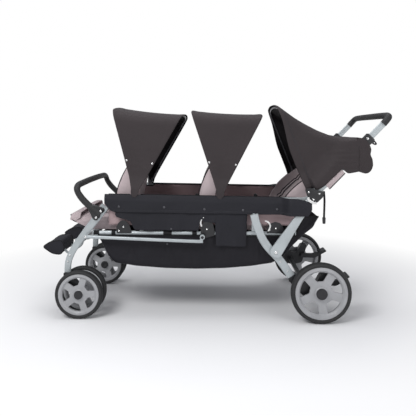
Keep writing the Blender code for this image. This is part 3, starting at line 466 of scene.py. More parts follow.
SEAT = cloth_finish("seat_cloth", (0.40, 0.335, 0.345), sheen=0.1, crumple=0.6, shade=(0.86, 1.08))
PIPING = cloth_finish("piping_cloth", (0.010, 0.010, 0.011), sheen=0.0)
WEBBING = cloth_finish("webbing", (0.012, 0.012, 0.013), threads=700.0, sheen=0.0)
print("materials", len(bpy.data.materials))

# %% [markdown]
# Each wheel is a foam tyre on a moulded rim. The rim is turned as one dish and five windows are cut out of
# it with a Boolean, as the mould's cores leave them; a narrow bevel then eases every edge so that it
# catches the light. Front wheels stand in pairs on each caster.

# %% Wheels
REAR_R, REAR_RIM_R, REAR_HALF = 0.146, 0.126, 0.0225
FRONT_R, FRONT_RIM_R, FRONT_HALF = 0.119, 0.101, 0.018
REAR_X, REAR_Y = 0.510, 0.350
CASTER_X, CASTER_Y, TWIN_HALF = -0.675, 0.275, 0.040
WINDOWS = 5


def tyre_mesh(name, centre, out, radius, rim_radius, half):
    tread = radius - rim_radius
    profile = [(rim_radius + 0.0004, -half * 0.78), (rim_radius + tread * 0.25, -half * 0.95)]
    arc = 16
    for i in range(arc + 1):
        angle = math.pi * (i / arc - 0.5)
        groove = 0.0009 if i in (5, 8, 11) else 0.0
        bulge = abs(math.cos(angle)) ** 0.62
        profile.append((radius - tread * 0.62 * (1 - bulge) - groove, half * math.sin(angle)))
    profile += [(rim_radius + tread * 0.25, half * 0.95), (rim_radius + 0.0004, half * 0.78)]
    profile.append(profile[0])
    return turned(name, profile, 96, centre, out)


def rim_mesh(name, centre, out, rim_radius, half, first_window, hub_out):
    ring = rim_radius * 0.825
    hub = rim_radius * 0.255
    web_out, web_in = half * 0.40, half * -0.05
    profile = [
        (0.0063, hub_out - 0.008), (hub - 0.004, hub_out - 0.008), (hub, hub_out - 0.011),
        (hub + 0.002, web_out + 0.003), (hub + 0.010, web_out + 0.0005),
        (ring * 0.72, web_out - 0.0015), (ring - 0.003, web_out),
        (ring + 0.003, half * 0.72), (ring + 0.006, half * 0.86), (rim_radius - 0.002, half * 0.86),
        (rim_radius, half * 0.76), (rim_radius, -half * 0.76), (rim_radius - 0.002, -half * 0.84),
        (ring + 0.006, -half * 0.84), (ring + 0.003, -half * 0.70), (ring - 0.002, web_in),
        (hub + 0.002, web_in), (hub - 0.003, -0.019), (0.0063, -0.019), (0.0063, hub_out - 0.008),
    ]
    rim = turned(name, profile, 90, centre, out)
    for k in range(WINDOWS):
        middle = math.radians(first_window + k * 360 / WINDOWS)
        outline = []
        outer, inner = ring * 0.985, ring * 0.545
        for t in (-1, -0.6, -0.2, 0.2, 0.6, 1):
            angle = middle + t * math.radians(24.5)
            outline.append((outer * math.cos(angle), outer * math.sin(angle)))
        for t in (1, 0, -1):
            angle = middle + t * math.radians(15.5)
            outline.append((inner * math.cos(angle), inner * math.sin(angle)))
        outline = [(centre[0] + x, centre[2] + z) for x, z in outline]
        cutter = outlined("window", rounded(outline, 0.007, 4), centre[1] - 0.06, centre[1] + 0.06)
        only(rim)
        bpy.ops.object.modifier_add(type="BOOLEAN")
        cut = rim.modifiers[-1]
        cut.operation = "DIFFERENCE"
        cut.object = cutter
        bpy.ops.object.modifier_apply(modifier=cut.name)
        bpy.data.objects.remove(cutter)
    only(rim)
    bpy.ops.object.modifier_add(type="BEVEL")
    bevel = rim.modifiers[-1]
    bevel.width = 0.0012
    bevel.segments = 2
    bevel.limit_method = "ANGLE"
    bevel.angle_limit = math.radians(50)
    apply_all(rim)
    bpy.ops.object.shade_smooth_by_angle(angle=math.radians(35))
    return rim


def cap_mesh(name, centre, out, radius, hub_out):
    profile = [(0.0, hub_out - 0.0005), (radius * 0.34, hub_out - 0.0005), (radius * 0.38, hub_out),
               (radius * 0.80, hub_out), (radius * 0.94, hub_out - 0.0015), (radius, hub_out - 0.005),
               (radius, hub_out - 0.0095), (0.0, hub_out - 0.0095)]
    return turned(name, profile, 48, centre, out)


def dress_wheel(name, body, centre, out, sizes, first_window, hub_out):
    radius, rim_radius, half = sizes
    tyre = tyre_mesh(name + "_tyre_skin", centre, out, radius, rim_radius, half)
    dress(tyre, body, TYRE, [name + "_tyre"])
    rim = rim_mesh(name + "_rim_skin", centre, out, rim_radius, half, first_window, hub_out)
    dress(rim, body, RIM, [name + "_rim"])
    cap = cap_mesh(name + "_hub_cap", centre, out, rim_radius * 0.215, hub_out)
    dress(cap, body, PLASTIC)


for side, label in ((-1, "left"), (1, "right")):
    dress_wheel(f"rear_{label}", f"rear_wheel_{label}", (REAR_X, side * REAR_Y, REAR_R), side,
                (REAR_R, REAR_RIM_R, REAR_HALF), 95, 0.030)
    for place, out in (("outer", side), ("inner", -side)):
        centre = (CASTER_X, side * CASTER_Y + out * TWIN_HALF, FRONT_R)
        dress_wheel(f"front_{label}_{place}", f"front_wheel_{label}_{place}", centre, out,
                    (FRONT_R, FRONT_RIM_R, FRONT_HALF), 110, 0.021)
print("wheels", 6)

# %% [markdown]
# The legs are steel tube rolled to a flat oval, bent near the foot and painted light silver. Each is swept
# along a smooth curve through the bends' places, so that no facets show, and its bolts are small domed
# heads that sit on the outer flank.

# %% Legs, struts and links
OUTER_IN = 0.3030
LEG_THICK = 0.0185
FRONT_LEG = [(-0.5545, 0.5495), (-0.600, 0.486), (-0.641, 0.434), (-0.675, 0.388), (-0.705, 0.346),
             (-0.728, 0.304), (-0.741, 0.265), (-0.744, 0.2170)]
REAR_LEG = [(0.190, 0.5165), (0.199, 0.480), (0.211, 0.4465), (0.232, 0.396), (0.262, 0.352), (0.305, 0.307),
            (0.340, 0.260), (0.3715, 0.2150)]


def in_side_view(points, y):
    return [(x, y, z) for x, z in points]


for side, label in ((-1, "left"), (1, "right")):
    y = side * CASTER_Y
    leg = swept(f"front_leg_{label}_tube", smooth_line(in_side_view(FRONT_LEG, y), 40),
                flat_oval(LEG_THICK, 0.043), 28, scale=lambda v: 1.0 - 0.24 * min(1.0, v / 0.75))
    dress(leg, "front_legs", PAINT, [f"front_leg_{label}"])
    for x, z in ((-0.731, 0.302), (-0.741, 0.272)):
        rivet(f"front_leg_{label}_rivet_{round(z * 1000)}", x, z, y + side * LEG_THICK / 2, side, 0.0045,
              0.0022, "front_legs")
    y = side * (OUTER_IN + LEG_THICK / 2)
    leg = swept(f"rear_leg_{label}_tube", smooth_line(in_side_view(REAR_LEG, y), 40),
                flat_oval(LEG_THICK, 0.040), 28)
    dress(leg, "rear_legs", PAINT, [f"rear_leg_{label}"])
    for x, z in ((0.352, 0.241), (0.318, 0.288)):
        rivet(f"rear_leg_{label}_rivet_{round(z * 1000)}", x, z, y + side * LEG_THICK / 2, side, 0.0045,
              0.0022, "rear_legs")
print("legs", 4)

# %% [markdown]
# Between the legs runs the lower link, a slim rolled tube flattened at its front end for the bolt. The
# struts are pressed plates with soft edges that widen to a round foot on the rear leg. Modelling them as
# filled outlines with a bevel keeps the pressed look.

# %% Links and struts
LINK_THICK = 0.0150
STRUT_IN, STRUT_THICK = 0.3218, 0.018
LINK_FRONT, LINK_REAR = (-0.643, 0.403), (-0.064, 0.403)
HANDLE_HINGE, STRUT_PIVOT = (0.473, 0.605), (0.295, 0.335)
LINK_LINE = [LINK_FRONT, (-0.560, 0.3995), (-0.100, 0.3825), (-0.074, 0.3875), LINK_REAR]


def strut_outline():
    top, foot = Vector(HANDLE_HINGE), Vector(STRUT_PIVOT)
    along = (top - foot).normalized()
    across = Vector((-along.y, along.x))
    points = [foot - along * 0.024 * math.sin(math.pi * i / 12) - across * 0.0295 * math.cos(math.pi * i / 12)
              for i in range(13)]
    for reach, half in ((0.06, 0.0265), (0.12, 0.0222), (0.20, 0.0190)):
        points.append(foot + along * reach + across * half)
    for i in range(9):
        angle = math.pi * i / 8
        points.append(top + along * 0.013 * math.sin(angle) + across * 0.0165 * math.cos(angle))
    for reach, half in ((0.20, 0.0190), (0.12, 0.0222), (0.06, 0.0265)):
        points.append(foot + along * reach - across * half)
    return [tuple(p) for p in points]


for side, label in ((-1, "left"), (1, "right")):
    y = side * (OUTER_IN + LINK_THICK / 2)
    half = LINK_THICK / 2
    link = swept(f"lower_link_{label}_tube", smooth_line(in_side_view(LINK_LINE, y), 60),
                 flat_oval(LINK_THICK, 0.0155), 20)
    for spot, radius in ((LINK_FRONT, 0.0105), (LINK_REAR, 0.0125)):
        profile = [(0.0, half), (radius - 0.002, half), (radius, half - 0.002), (radius, -half), (0.0, -half)]
        join(link, [turned("eye", profile, 24, (spot[0], y, spot[1]), side)])
    dress(link, "links", PAINT, [f"lower_link_{label}"])
    for spot, radius, metal, slot in ((LINK_FRONT, 0.0062, CHROME, "steel"),
                                      (LINK_REAR, 0.0075, PLASTIC, "black_plastic")):
        bolt = stud(f"lower_link_{label}_bolt_{round(-spot[0] * 1000)}", *spot, y + side * half, side, radius,
                    0.0030)
        dress(bolt, "links", metal)
    low, high = sorted((side * STRUT_IN, side * (STRUT_IN + STRUT_THICK)))
    strut = outlined(f"rear_strut_{label}_plate", strut_outline(), low, high, 0.0032, 3)
    dress(strut, "struts", PAINT, [f"rear_strut_{label}"])
    outer = side * (STRUT_IN + STRUT_THICK)
    rivet(f"rear_strut_{label}_pivot", *STRUT_PIVOT, outer, side, 0.0085, 0.0042, "struts", 28)
print("links and struts", 4)

# %% [markdown]
# The front grip is a steel bar inside thick moulded foam. A single swept tube follows the bar from one leg
# up, forward, over and down to the other leg. Its ends are swollen into flat lugs, which take two bolts.

# %% Front grip
GRIP_Y = 0.314
GRIP_SIDE = [(-0.572, 0.512), (-0.592, 0.531), (-0.626, 0.558), (-0.658, 0.590), (-0.678, 0.618),
             (-0.685, 0.636)]
GRIP_BOLTS = ((-0.5655, 0.531), (-0.589, 0.500))
LUG_THICK = 0.0205


def front_grip_line(count):
    near = [(x, -GRIP_Y, z) for x, z in GRIP_SIDE]
    near += [(-0.6875, -0.301, 0.6485), (-0.6880, -0.272, 0.6560), (-0.6865, -0.220, 0.6590),
             (-0.6845, -0.110, 0.6620)]
    far = [(x, -y, z) for x, y, z in reversed(near)]
    return smooth_line(near + [(-0.6835, 0.0, 0.6630)] + far, count)


def grip_swell(v):
    end = min(v, 1 - v)
    return 1.0 + 0.05 * math.exp(-(end / 0.02) ** 2) - 0.06 * math.exp(-((end - 0.16) / 0.02) ** 2)


foam = swept("front_grip_foam", front_grip_line(150), circle(0.0160), 28, scale=grip_swell)
dress(foam, "front_legs", FOAM, ["front_grip"])
for side, label in ((-1, "left"), (1, "right")):
    lug_outline = rounded([(-0.553, 0.543), (-0.586, 0.482), (-0.604, 0.489), (-0.634, 0.548),
                           (-0.620, 0.566), (-0.590, 0.560)], 0.014)
    low, high = sorted((side * OUTER_IN, side * (OUTER_IN + LUG_THICK)))
    lug = outlined(f"front_grip_{label}_lug", lug_outline, low, high, 0.0045, 3)
    dress(lug, "front_legs", PLASTIC)
    for x, z in GRIP_BOLTS:
        rivet(f"front_grip_{label}_bolt_{round(z * 1000)}", x, z, side * (OUTER_IN + LUG_THICK), side, 0.0062,
              0.003, "front_legs")
    low, high = sorted((side * (CASTER_Y + LEG_THICK / 2), side * OUTER_IN))
    for x, z in GRIP_BOLTS:
        spacer = turned(f"front_grip_{label}_spacer_{round(z * 1000)}",
                        [(0.0, low), (0.0118, low), (0.0118, high), (0.0, high)], 24, (x, 0.0, z), 1)
        dress(spacer, "front_legs", PLASTIC)
print("front grip", round(line_length(front_grip_line(150)), 3), "m of foam")

# %% [markdown]
# The push handle telescopes: flat tubes slide inside wider ones, held by a moulded collar with a thumb
# lever and a steel rivet. The grip bar bends round both corners in one foam sleeve.

# %% Push handle
HANDLE_SLOPE = 45.7
HANDLE_THICK, HANDLE_WIDTH = 0.018, 0.039
HANDLE_Y = OUTER_IN + HANDLE_THICK / 2
LOWER_ARM, UPPER_REACH = 0.405, 0.545
SLIDE_THICK, SLIDE_WIDTH = 0.0102, 0.0312


def along_handle(distance, rise=0.0):
    """A point in side view, measured from the handle hinge up the handle's slope."""
    slope = math.radians(HANDLE_SLOPE)
    return (HANDLE_HINGE[0] + distance * math.cos(slope) - rise * math.sin(slope),
            HANDLE_HINGE[1] + distance * math.sin(slope) + rise * math.cos(slope))


def straight(start, end, y, count=2):
    a, b = Vector((start[0], y, start[1])), Vector((end[0], y, end[1]))
    return [a.lerp(b, i / count) for i in range(count + 1)]


def collar_outline():
    """The collar's side view, with the thumb lever's tail hanging from its lower edge."""
    steps = [(-0.030, 0.0235), (0.004, 0.0235), (0.008, 0.0205), (0.008, -0.0200), (0.004, -0.0235),
             (0.003, -0.036), (0.000, -0.0445), (-0.008, -0.0455), (-0.011, -0.038), (-0.013, -0.0250),
             (-0.030, -0.0235), (-0.034, -0.0205), (-0.034, 0.0205)]
    return [along_handle(LOWER_ARM + a, b) for a, b in steps]


for side, label in ((-1, "left"), (1, "right")):
    y = side * HANDLE_Y
    arm = swept(f"handle_arm_{label}_tube", straight(HANDLE_HINGE, along_handle(LOWER_ARM - 0.004), y),
                flat_oval(HANDLE_THICK, HANDLE_WIDTH), 28)
    half = HANDLE_THICK / 2
    profile = [(0.0, half), (0.0175, half), (0.0195, half - 0.002), (0.0195, -half + 0.002), (0.0175, -half),
               (0.0, -half)]
    join(arm, [turned("knuckle", profile, 40, (HANDLE_HINGE[0], y, HANDLE_HINGE[1]), side)])
    dress(arm, "handle", PAINT, [f"handle_arm_{label}"])
    low, high = y - half - 0.003, y + half + 0.003
    collar = outlined(f"handle_collar_{label}", rounded(collar_outline(), 0.003, 3), low, high, 0.0022, 2)
    dress(collar, "handle", PLASTIC)
    face = side * (HANDLE_Y + half + 0.003)
    for a, b, radius in ((-0.013, 0.006, 0.0060), (-0.006, -0.031, 0.0032)):
        x, z = along_handle(LOWER_ARM + a, b)
        rivet(f"handle_collar_{label}_rivet_{round(abs(b) * 1000)}", x, z, face, side, radius, 0.0022,
              "handle")
    line = straight(along_handle(LOWER_ARM - 0.050), along_handle(UPPER_REACH - 0.028), y)
    slide = swept(f"handle_slide_{label}", line, flat_oval(SLIDE_THICK, SLIDE_WIDTH), 24)
    dress(slide, "handle_top", PAINT)

grip_points = []
GRIP_ROUTE = ((0.498, HANDLE_Y, 0.0), (0.522, HANDLE_Y, 0.0015), (0.541, HANDLE_Y - 0.007, 0.0030),
              (0.5495, HANDLE_Y - 0.030, 0.0050), (0.551, HANDLE_Y - 0.065, 0.0060), (0.552, 0.150, 0.0068),
              (0.552, 0.0, 0.0070))
for distance, y, rise in GRIP_ROUTE:
    x, z = along_handle(distance, rise)
    grip_points.append((x, -y, z))
grip_points += [(x, -y, z) for x, y, z in reversed(grip_points[:-1])]
bar = swept("handle_grip_foam", smooth_line(grip_points, 130), circle(0.0165), 28,
            side=Vector((0.7, 0.02, -0.7)))
dress(bar, "handle_top", FOAM, ["handle_grip"])
print("handle grip reaches", round(max(v.co.x for v in bar.data.vertices), 3))

# %% [markdown]
# The two front canopies are woven polyester pulled over a pair of hoops. Each is one curved sheet: it
# wraps the hoops with a narrow hem, dips a little between them and gathers in small folds near the pivot,
# where snaps hold it. A grid fits this best, with one direction round the hoop and the other from hoop to
# hoop. A second, darker sheet just inside is the lining.

# %% Canopy hoops
BOW_REAR_Y, BOW_FRONT_Y = 0.2612, 0.2509
BOW_RADIUS, BOW_CORNER, BOW_CROWN = 0.452, 0.060, 0.014
BOW_PROUD = 0.0056
CANOPIES = (((-0.404, 0.612), 104.6, 60.5), ((0.023, 0.604), 108.0, 62.7))
HEM_OUT = 0.011
TIP_LOW, TIP_START, TIP_OUT = -0.017, 0.024, 0.0275


def hoop(half, reach, start, legs=20, bend=8, top=16, corner=BOW_CORNER, crown=BOW_CROWN):
    """Points (across, up) of one hoop: leg, round corner, crowned top, corner, leg."""
    shoulder = reach - crown - corner
    side = [(-half, start + (shoulder - start) * i / legs) for i in range(legs)]
    for i in range(bend + 1):
        angle = math.pi / 2 * i / bend
        side.append((-half + corner * (1 - math.cos(angle)), shoulder + corner * math.sin(angle)))
    flat = half - corner
    middle = [(flat * (2 * i / top - 1), reach - crown * (2 * i / top - 1) ** 2) for i in range(1, top)]
    return side + middle + [(-y, r) for y, r in reversed(side)]


def lean(points, pivot, degrees):
    """Stand hoop points up at a pivot, leaning by an angle from level."""
    angle = math.radians(degrees)
    return [Vector((pivot[0] + r * math.cos(angle), y, pivot[1] + r * math.sin(angle))) for y, r in points]


def at_reach(pivot, degrees, reach):
    """The point in the middle plane that lies at a reach from a pivot, in a hoop's direction."""
    angle = math.radians(degrees)
    return (pivot[0] + reach * math.cos(angle), 0, pivot[1] + reach * math.sin(angle))


def window(value, low, high):
    """A smooth hump from 0 at low to 1 in the middle and back to 0 at high."""
    if value <= low or value >= high:
        return 0.0
    return math.sin(math.pi * (value - low) / (high - low)) ** 2


def smooth(t):
    t = min(1.0, max(0.0, t))
    return t * t * (3 - 2 * t)


print("hoop of", len(hoop(0.26, BOW_RADIUS, 0.0)), "points")


# %% Canopy sheets
def canopy_sheet(name, number, proud, inset=0.0):
    (pivot, front, rear) = CANOPIES[number]
    half = BOW_REAR_Y + proud
    reach = BOW_RADIUS + proud / math.cos(math.radians((front - rear) / 2))
    reaches = [r for _, r in hoop(half, reach, TIP_LOW, 26)]
    first = lean(hoop(half, reach, TIP_LOW, 26), pivot, front)
    last = lean(hoop(half, reach + 0.0103, TIP_LOW, 26), pivot, rear)
    middle = math.radians((front + rear) / 2)
    ahead = Vector((-math.sin(middle), 0, math.cos(middle)))
    up = Vector((math.cos(middle), 0, math.sin(middle)))
    rows = 30
    centre = Vector((pivot[0], 0, pivot[1]))

    def place(u, v):
        j = round(u * (len(first) - 1))
        i = round(v * rows)
        a, b = first[j], last[j]
        out = TIP_OUT * (1 - smooth((reaches[j] - 0.028) / 0.062))
        below = min(0.0, reaches[j] - TIP_START)
        if below < 0:
            wide = 2 * i / rows - 1
            level = Vector((pivot[0], a.y, pivot[1])) + up * TIP_START
            half_width = HEM_OUT + TIP_START * math.tan(math.radians((front - rear) / 2))
            rounding = 0.12 + 0.88 * math.sqrt(max(0.0, 1 - wide * wide))
            spot = level - ahead * wide * half_width + up * below * rounding
            spot.y += math.copysign(out, a.y)
            return spot
        a = a + Vector((0, math.copysign(out, a.y), 0)) if reaches[j] < 0.2 else a
        b = b + Vector((0, math.copysign(out, b.y), 0)) if reaches[j] < 0.2 else b
        inward = (centre + up * 0.2 - (a + b) / 2).normalized()
        lift = (a - Vector((pivot[0], a.y, pivot[1]))).length
        hem = HEM_OUT - inset
        if i == 0:
            return a + ahead * (hem - 0.001) + inward * 0.006
        if i == 1:
            return a + ahead * hem
        if i == rows - 1:
            return b - ahead * hem
        if i == rows:
            return b - ahead * (hem - 0.001) + inward * 0.006
        t = (i - 2) / (rows - 4)
        spot = a.lerp(b, t)
        top = max(0.0, min(1.0, (lift - 0.34) / 0.09))
        dip = 0.0085 * math.sin(math.pi * t) ** 0.6
        spot.z -= dip * top
        side = 1.0 - top
        sign = 1.0 if a.y < 0 else -1.0
        drawn = 0.0045 * math.sin(math.pi * t) * math.sin(math.pi * min(1.0, lift / 0.42))
        phase = 2 * math.pi * (lift * 34 + t * 0.55 + 0.35 * math.sin(5 * t + number))
        folds = 0.0017 * math.sin(phase) * window(lift, 0.03, 0.30) * math.sin(math.pi * t) ** 0.5
        slack = 0.0012 * math.sin(2 * math.pi * (t * 1.5 + lift * 6)) * window(lift, 0.15, 0.42)
        spot.y += sign * (drawn + folds + slack) * side
        seam = 0.0007 if i in (4, rows - 4) else 0.0
        return spot + inward * seam

    return grid_piece(name, len(first) - 1, rows, place, (1.35, 0.36))


SNAP_REACH, BLEND_REACH = 0.173, 0.20
for number in (0, 1):
    pivot, front, rear = CANOPIES[number]
    label = f"canopy_{number + 1}"
    for part, proud, inset, material, wall in (("shell", BOW_PROUD, 0.0, CANOPY, 0.0014),
                                               ("lining", BOW_PROUD - 0.0026, 0.0025, LINING, 0.0008)):
        sheet = canopy_sheet(f"{label}_{part}", number, proud, inset)
        area = make_cloth(sheet, wall, 1)
        finish(sheet, material)
        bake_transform(sheet)
        if part == "shell":
            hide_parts(f"{label}_cloth")
        print(sheet.name, "area", round(area, 3), "m2")
    for side in (-1, 1):
        for place, degrees, body in (("front", front, f"{label}_bow"), ("rear", rear, "root")):
            x, _, z = at_reach(pivot, degrees, SNAP_REACH)
            rivet(f"{label}_{place}_snap_{'left' if side < 0 else 'right'}", x, z,
                  side * (BOW_REAR_Y + BOW_PROUD + 0.0004), side, 0.0048, 0.0018, body)

# %% [markdown]
# Three rows of two seats. Each back is a stuffed shell: a grid wrapped round it, with a crowned pad, two
# stitched channels that pucker the cloth, and a wing that rises at the outer side. A dark piping cord runs
# up each wing's edge and along the top. The bench below is sewn down in the middle.

# %% Seat backs
ROWS = (((-0.464, 0.443), 78.0, 0.350), ((-0.042, 0.443), 78.0, 0.350), ((0.300, 0.443), 44.0, 0.412))
SEAT_HALF, SEAT_SPLIT = 0.243, 0.010
BACK_WIDTH = SEAT_HALF - SEAT_SPLIT / 2
WING_DEPTH, WING_WALL = 0.060, 0.028
FRONT_SHARE = 0.62


def hump(t, sharp=0.5):
    """0 at both ends and 1 in the middle, as a stuffed pad swells."""
    return max(0.0, math.sin(math.pi * min(1.0, max(0.0, t)))) ** sharp


def seat_point(row, along, front):
    (x, z), degrees, _ = ROWS[row]
    angle = math.radians(degrees)
    return (x + along * math.cos(angle) - front * math.sin(angle),
            z + along * math.sin(angle) + front * math.cos(angle))


def wing_rise(across):
    """0 on the pad and 1 on the wing, with a soft inner flank."""
    start = 1 - (WING_WALL + 0.022) / BACK_WIDTH
    t = min(1.0, max(0.0, (across - start) / 0.115))
    edge = 1 - 0.25 * max(0.0, (across - 0.96) / 0.04)
    return t * t * (3 - 2 * t) * edge


def front_of_back(row, t, across):
    """How far the front of a back stands out, t from its foot to its top."""
    near = sum(math.exp(-((t - s) / 0.018) ** 2) for s in (0.36, 0.66))
    wide = sum(math.exp(-((t - s) / 0.060) ** 2) for s in (0.36, 0.66))
    crown = 0.012 * hump(across) * hump(t)
    seam = 0.0065 * hump(across) * near
    pucker = 0.0011 * math.sin(across * 61 + 2.1 * math.sin(9 * across + row)) * wide * hump(across)
    slack = 0.0012 * math.sin(7 * t + 5 * across + row) * hump(across)
    raised = WING_DEPTH * wing_rise(across) * hump((t - 0.10) / 0.95, 0.7) * (1 - 0.45 * t)
    return 0.010 + 0.015 * hump(0.06 + 0.88 * t, 0.4) + crown - seam + pucker + slack + raised


def back_spot(row, side, u, across):
    u = 0.0 if u > 0.9999 else u
    length = ROWS[row][2] + 0.012
    pull = 0.006 * (1 - hump(across, 0.35))
    y = side * (SEAT_SPLIT / 2 + BACK_WIDTH * across)
    if u <= FRONT_SHARE:
        t = u / FRONT_SHARE
        front = front_of_back(row, t, across)
    else:
        t = (1 - u) / (1 - FRONT_SHARE)
        front = -0.005 + 0.015 * (1 - hump(0.06 + 0.88 * t, 0.4)) - 0.0042 * hump(across) * hump(t)
    x, z = seat_point(row, -0.012 + (length - pull) * t, front)
    return (x, y, z)


def eased(v):
    """Crowd grid lines towards both sides, where the pad rounds over."""
    return v - 0.11 * math.sin(2 * math.pi * v) / 2


def webbing(name, line, width, normal_of, body, wall=0.0016):
    """A flat strap that follows a line of points, lying on a surface."""
    count = len(line) - 1

    def place(u, v):
        i = round(v * count)
        ahead = (line[min(i + 1, count)] - line[max(i - 1, 0)]).normalized()
        across = normal_of.cross(ahead).normalized()
        return line[i] + across * width * (u - 0.5)

    strap = grid_piece(name, 2, count, place, (width, line_length(line)))
    settle(strap, 60)
    thicken(strap, wall, 0.0)
    return dress(strap, body, WEBBING)


for row in range(3):
    for side, label in ((-1, "left"), (1, "right")):
        body = f"back_{row + 1}_{label}"
        back = grid_piece(f"seat_back_{row + 1}_{label}_pad", 64, 26,
                          lambda u, v: back_spot(row, side, u, eased(v)), (0.75, 0.24))
        settle(back, 70)
        close_holes(back)
        dress(back, body, SEAT, [f"seat_back_{row + 1}_{label}"])
        heights = (0.03, 0.12, 0.25, 0.4, 0.55, 0.7, 0.82, 0.92, 1.0)
        edge = [back_spot(row, side, FRONT_SHARE * t, 0.955) for t in heights]
        edge += [back_spot(row, side, FRONT_SHARE, a) for a in (0.93, 0.85, 0.7, 0.5, 0.3, 0.12, 0.03)]
        cord = swept(f"seat_back_{row + 1}_{label}_piping", smooth_line(edge, 90), circle(0.0027), 8)
        dress(cord, body, PIPING)
        normal = Vector(seat_point(row, 0, 1)) - Vector(seat_point(row, 0, 0))
        normal = Vector((normal.x, 0, normal.y))
        for place in (0.33, 0.62):
            line = []
            for k in range(15):
                t = 0.30 + 0.46 * k / 14
                along = -0.012 + (ROWS[row][2] + 0.012) * t
                x, z = seat_point(row, along, front_of_back(row, t, place) + 0.0022)
                line.append(Vector((x, side * (SEAT_SPLIT / 2 + BACK_WIDTH * place), z)))
            webbing(f"seat_back_{row + 1}_{label}_strap_{round(place * 100)}", line, 0.024, normal, body)
print("seat backs", 6)

# %% Seat benches
RAIL_Z = 0.417
SEAT_BASE = RAIL_Z + 0.010 + 0.0003
SEAT_DEPTH, SEAT_THICK = 0.235, 0.060
BENCH_AHEAD = 0.031


def bench_outline(row, across):
    """The bench's side view at one distance across a seat, as a closed ring of points."""
    rear = ROWS[row][0][0] - BENCH_AHEAD
    front = rear - SEAT_DEPTH
    ring = [(rear, SEAT_BASE)]
    for i in range(29):
        t = i / 28
        top = SEAT_THICK - 0.008 + 0.010 * hump(across) * hump(0.05 + 0.9 * t) + 0.006 * t
        top -= 0.0060 * hump(across) * math.exp(-((t - 0.5) / 0.03) ** 2)
        top += 0.0009 * math.sin(across * 47 + row) * math.exp(-((t - 0.5) / 0.09) ** 2)
        top *= 0.80 + 0.20 * hump(0.04 + 0.92 * t, 0.35)
        ring.append((rear + (front - rear) * t, SEAT_BASE + top))
    if row == 0:
        ring[-1] = (-0.690, 0.512 - 0.004 * (1 - hump(across)))
        ring += [(-0.714, 0.5110), (-0.726, 0.508), (-0.738, 0.5030), (-0.742, 0.4955), (-0.735, 0.4890),
                 (-0.700, 0.470), (-0.640, SEAT_BASE + 0.004), (-0.625, SEAT_BASE)]
    else:
        ring.append((front + 0.006, SEAT_BASE))
    return ring + [ring[0]]


for row in range(3):
    rings = {}

    def bench_spot(u, v):
        wide = 2 * v - 1
        across = abs(wide)
        share = 0.88 + 0.12 * min(1.0, across / 0.05)
        if across > 0.90:
            share = 1.0 - 0.28 * ((across - 0.90) / 0.10) ** 2
        ring = rings.setdefault(round(across, 4), bench_outline(row, across))
        x, z = ring[round(u * (len(ring) - 1))]
        return (x, wide * SEAT_HALF, SEAT_BASE + (z - SEAT_BASE) * share)

    count = len(bench_outline(row, 0.5)) - 1
    bench = grid_piece(f"seat_bench_{row + 1}", count, 60, bench_spot, (0.62, 0.49))
    settle(bench, 70)
    close_holes(bench)
    dress(bench, "root", SEAT, [f"seat_cushion_{row + 1}"])
    nose = 31 if row == 0 else 28
    line = [Vector(bench_spot(nose / count, 0.5 + (-0.96 + 1.92 * k / 20) * 0.5)) for k in range(21)]
    if row == 0:
        line = [Vector((-0.7415, p.y, 0.4975)) for p in line]
    cord = swept(f"seat_bench_{row + 1}_piping", smooth_line(line, 60), circle(0.0027), 8,
                 side=Vector((1, 0, 0)))
    dress(cord, "root", PIPING)
    for side, label in ((-1, "left"), (1, "right")):
        y = side * SEAT_HALF / 2
        x = ROWS[row][0][0] - BENCH_AHEAD - 0.095
        tongue = [Vector((x + 0.0035 * k, y, SEAT_BASE + 0.062 + 0.0042 * k)) for k in range(12)]
        webbing(f"crotch_strap_{row + 1}_{label}", tongue, 0.025, Vector((0.77, 0, -0.64)), "root")
        tip = tongue[-1]
        buckle = outlined(f"harness_buckle_{row + 1}_{label}",
                          rounded([(tip.x - 0.010, tip.z - 0.012), (tip.x + 0.016, tip.z - 0.006),
                                   (tip.x + 0.030, tip.z + 0.022), (tip.x + 0.014, tip.z + 0.030)], 0.004, 3),
                          y - 0.019, y + 0.019, 0.002)
        dress(buckle, "root", PLASTIC)
print("benches", 3)

# %% [markdown]
# Along each side hangs a cover in two layers. A plain band with a stitched hem snaps over the upper rail,
# and a skirt falls from under it in soft upright folds, cut round the two recline brackets. Inside the rail
# a thinner panel in a darker copy of the seats' colour, painted shade, closes the side between the rows.

# %% Side covers
COVER_IN = 0.2865
STRUT_OUT = 0.3398
COVER_HIGH = ((-0.5535, 0.612), (0.400, 0.597), (0.436, 0.588), (0.468, 0.577))
BAND_LOW = ((-0.5535, 0.567), (-0.546, 0.556), (-0.520, 0.528), (-0.500, 0.5225), (-0.300, 0.5195),
            (0.0, 0.5165), (0.200, 0.5140), (0.448, 0.5130), (0.456, 0.522), (0.468, 0.545))
SKIRT_LOW = ((-0.500, 0.512), (-0.494, 0.498), (-0.470, 0.492), (-0.423, 0.476), (-0.408, 0.440),
             (-0.400, 0.432), (-0.084, 0.432), (-0.077, 0.478), (-0.001, 0.471), (0.001, 0.358),
             (0.010, 0.3545), (0.146, 0.352), (0.152, 0.358), (0.158, 0.512))
BAND_SNAPS = ((-0.4814, 0.5500), (-0.255, 0.5480), (-0.054, 0.5385), (0.137, 0.5340), (0.305, 0.5400))
PANEL_START, PANEL_END, PANEL_FOOT, PANEL_OUT = -0.540, 0.430, 0.452, 0.2604
STITCH = cloth_finish("stitching", (0.035, 0.035, 0.040), threads=900.0, sheen=0.0)
# The inner panel's cloth is the seat cloth made darker: painted shade for the dim side inside the rail.
SHADED_SEAT = cloth_finish("seat_cloth_painted_shade", (0.36, 0.27, 0.278), sheen=0.1, crumple=0.5)


def read_line(points, x):
    for (x0, z0), (x1, z1) in zip(points, points[1:]):
        if x <= x1:
            return z0 + (z1 - z0) * max(0.0, x - x0) / (x1 - x0)
    return points[-1][1]


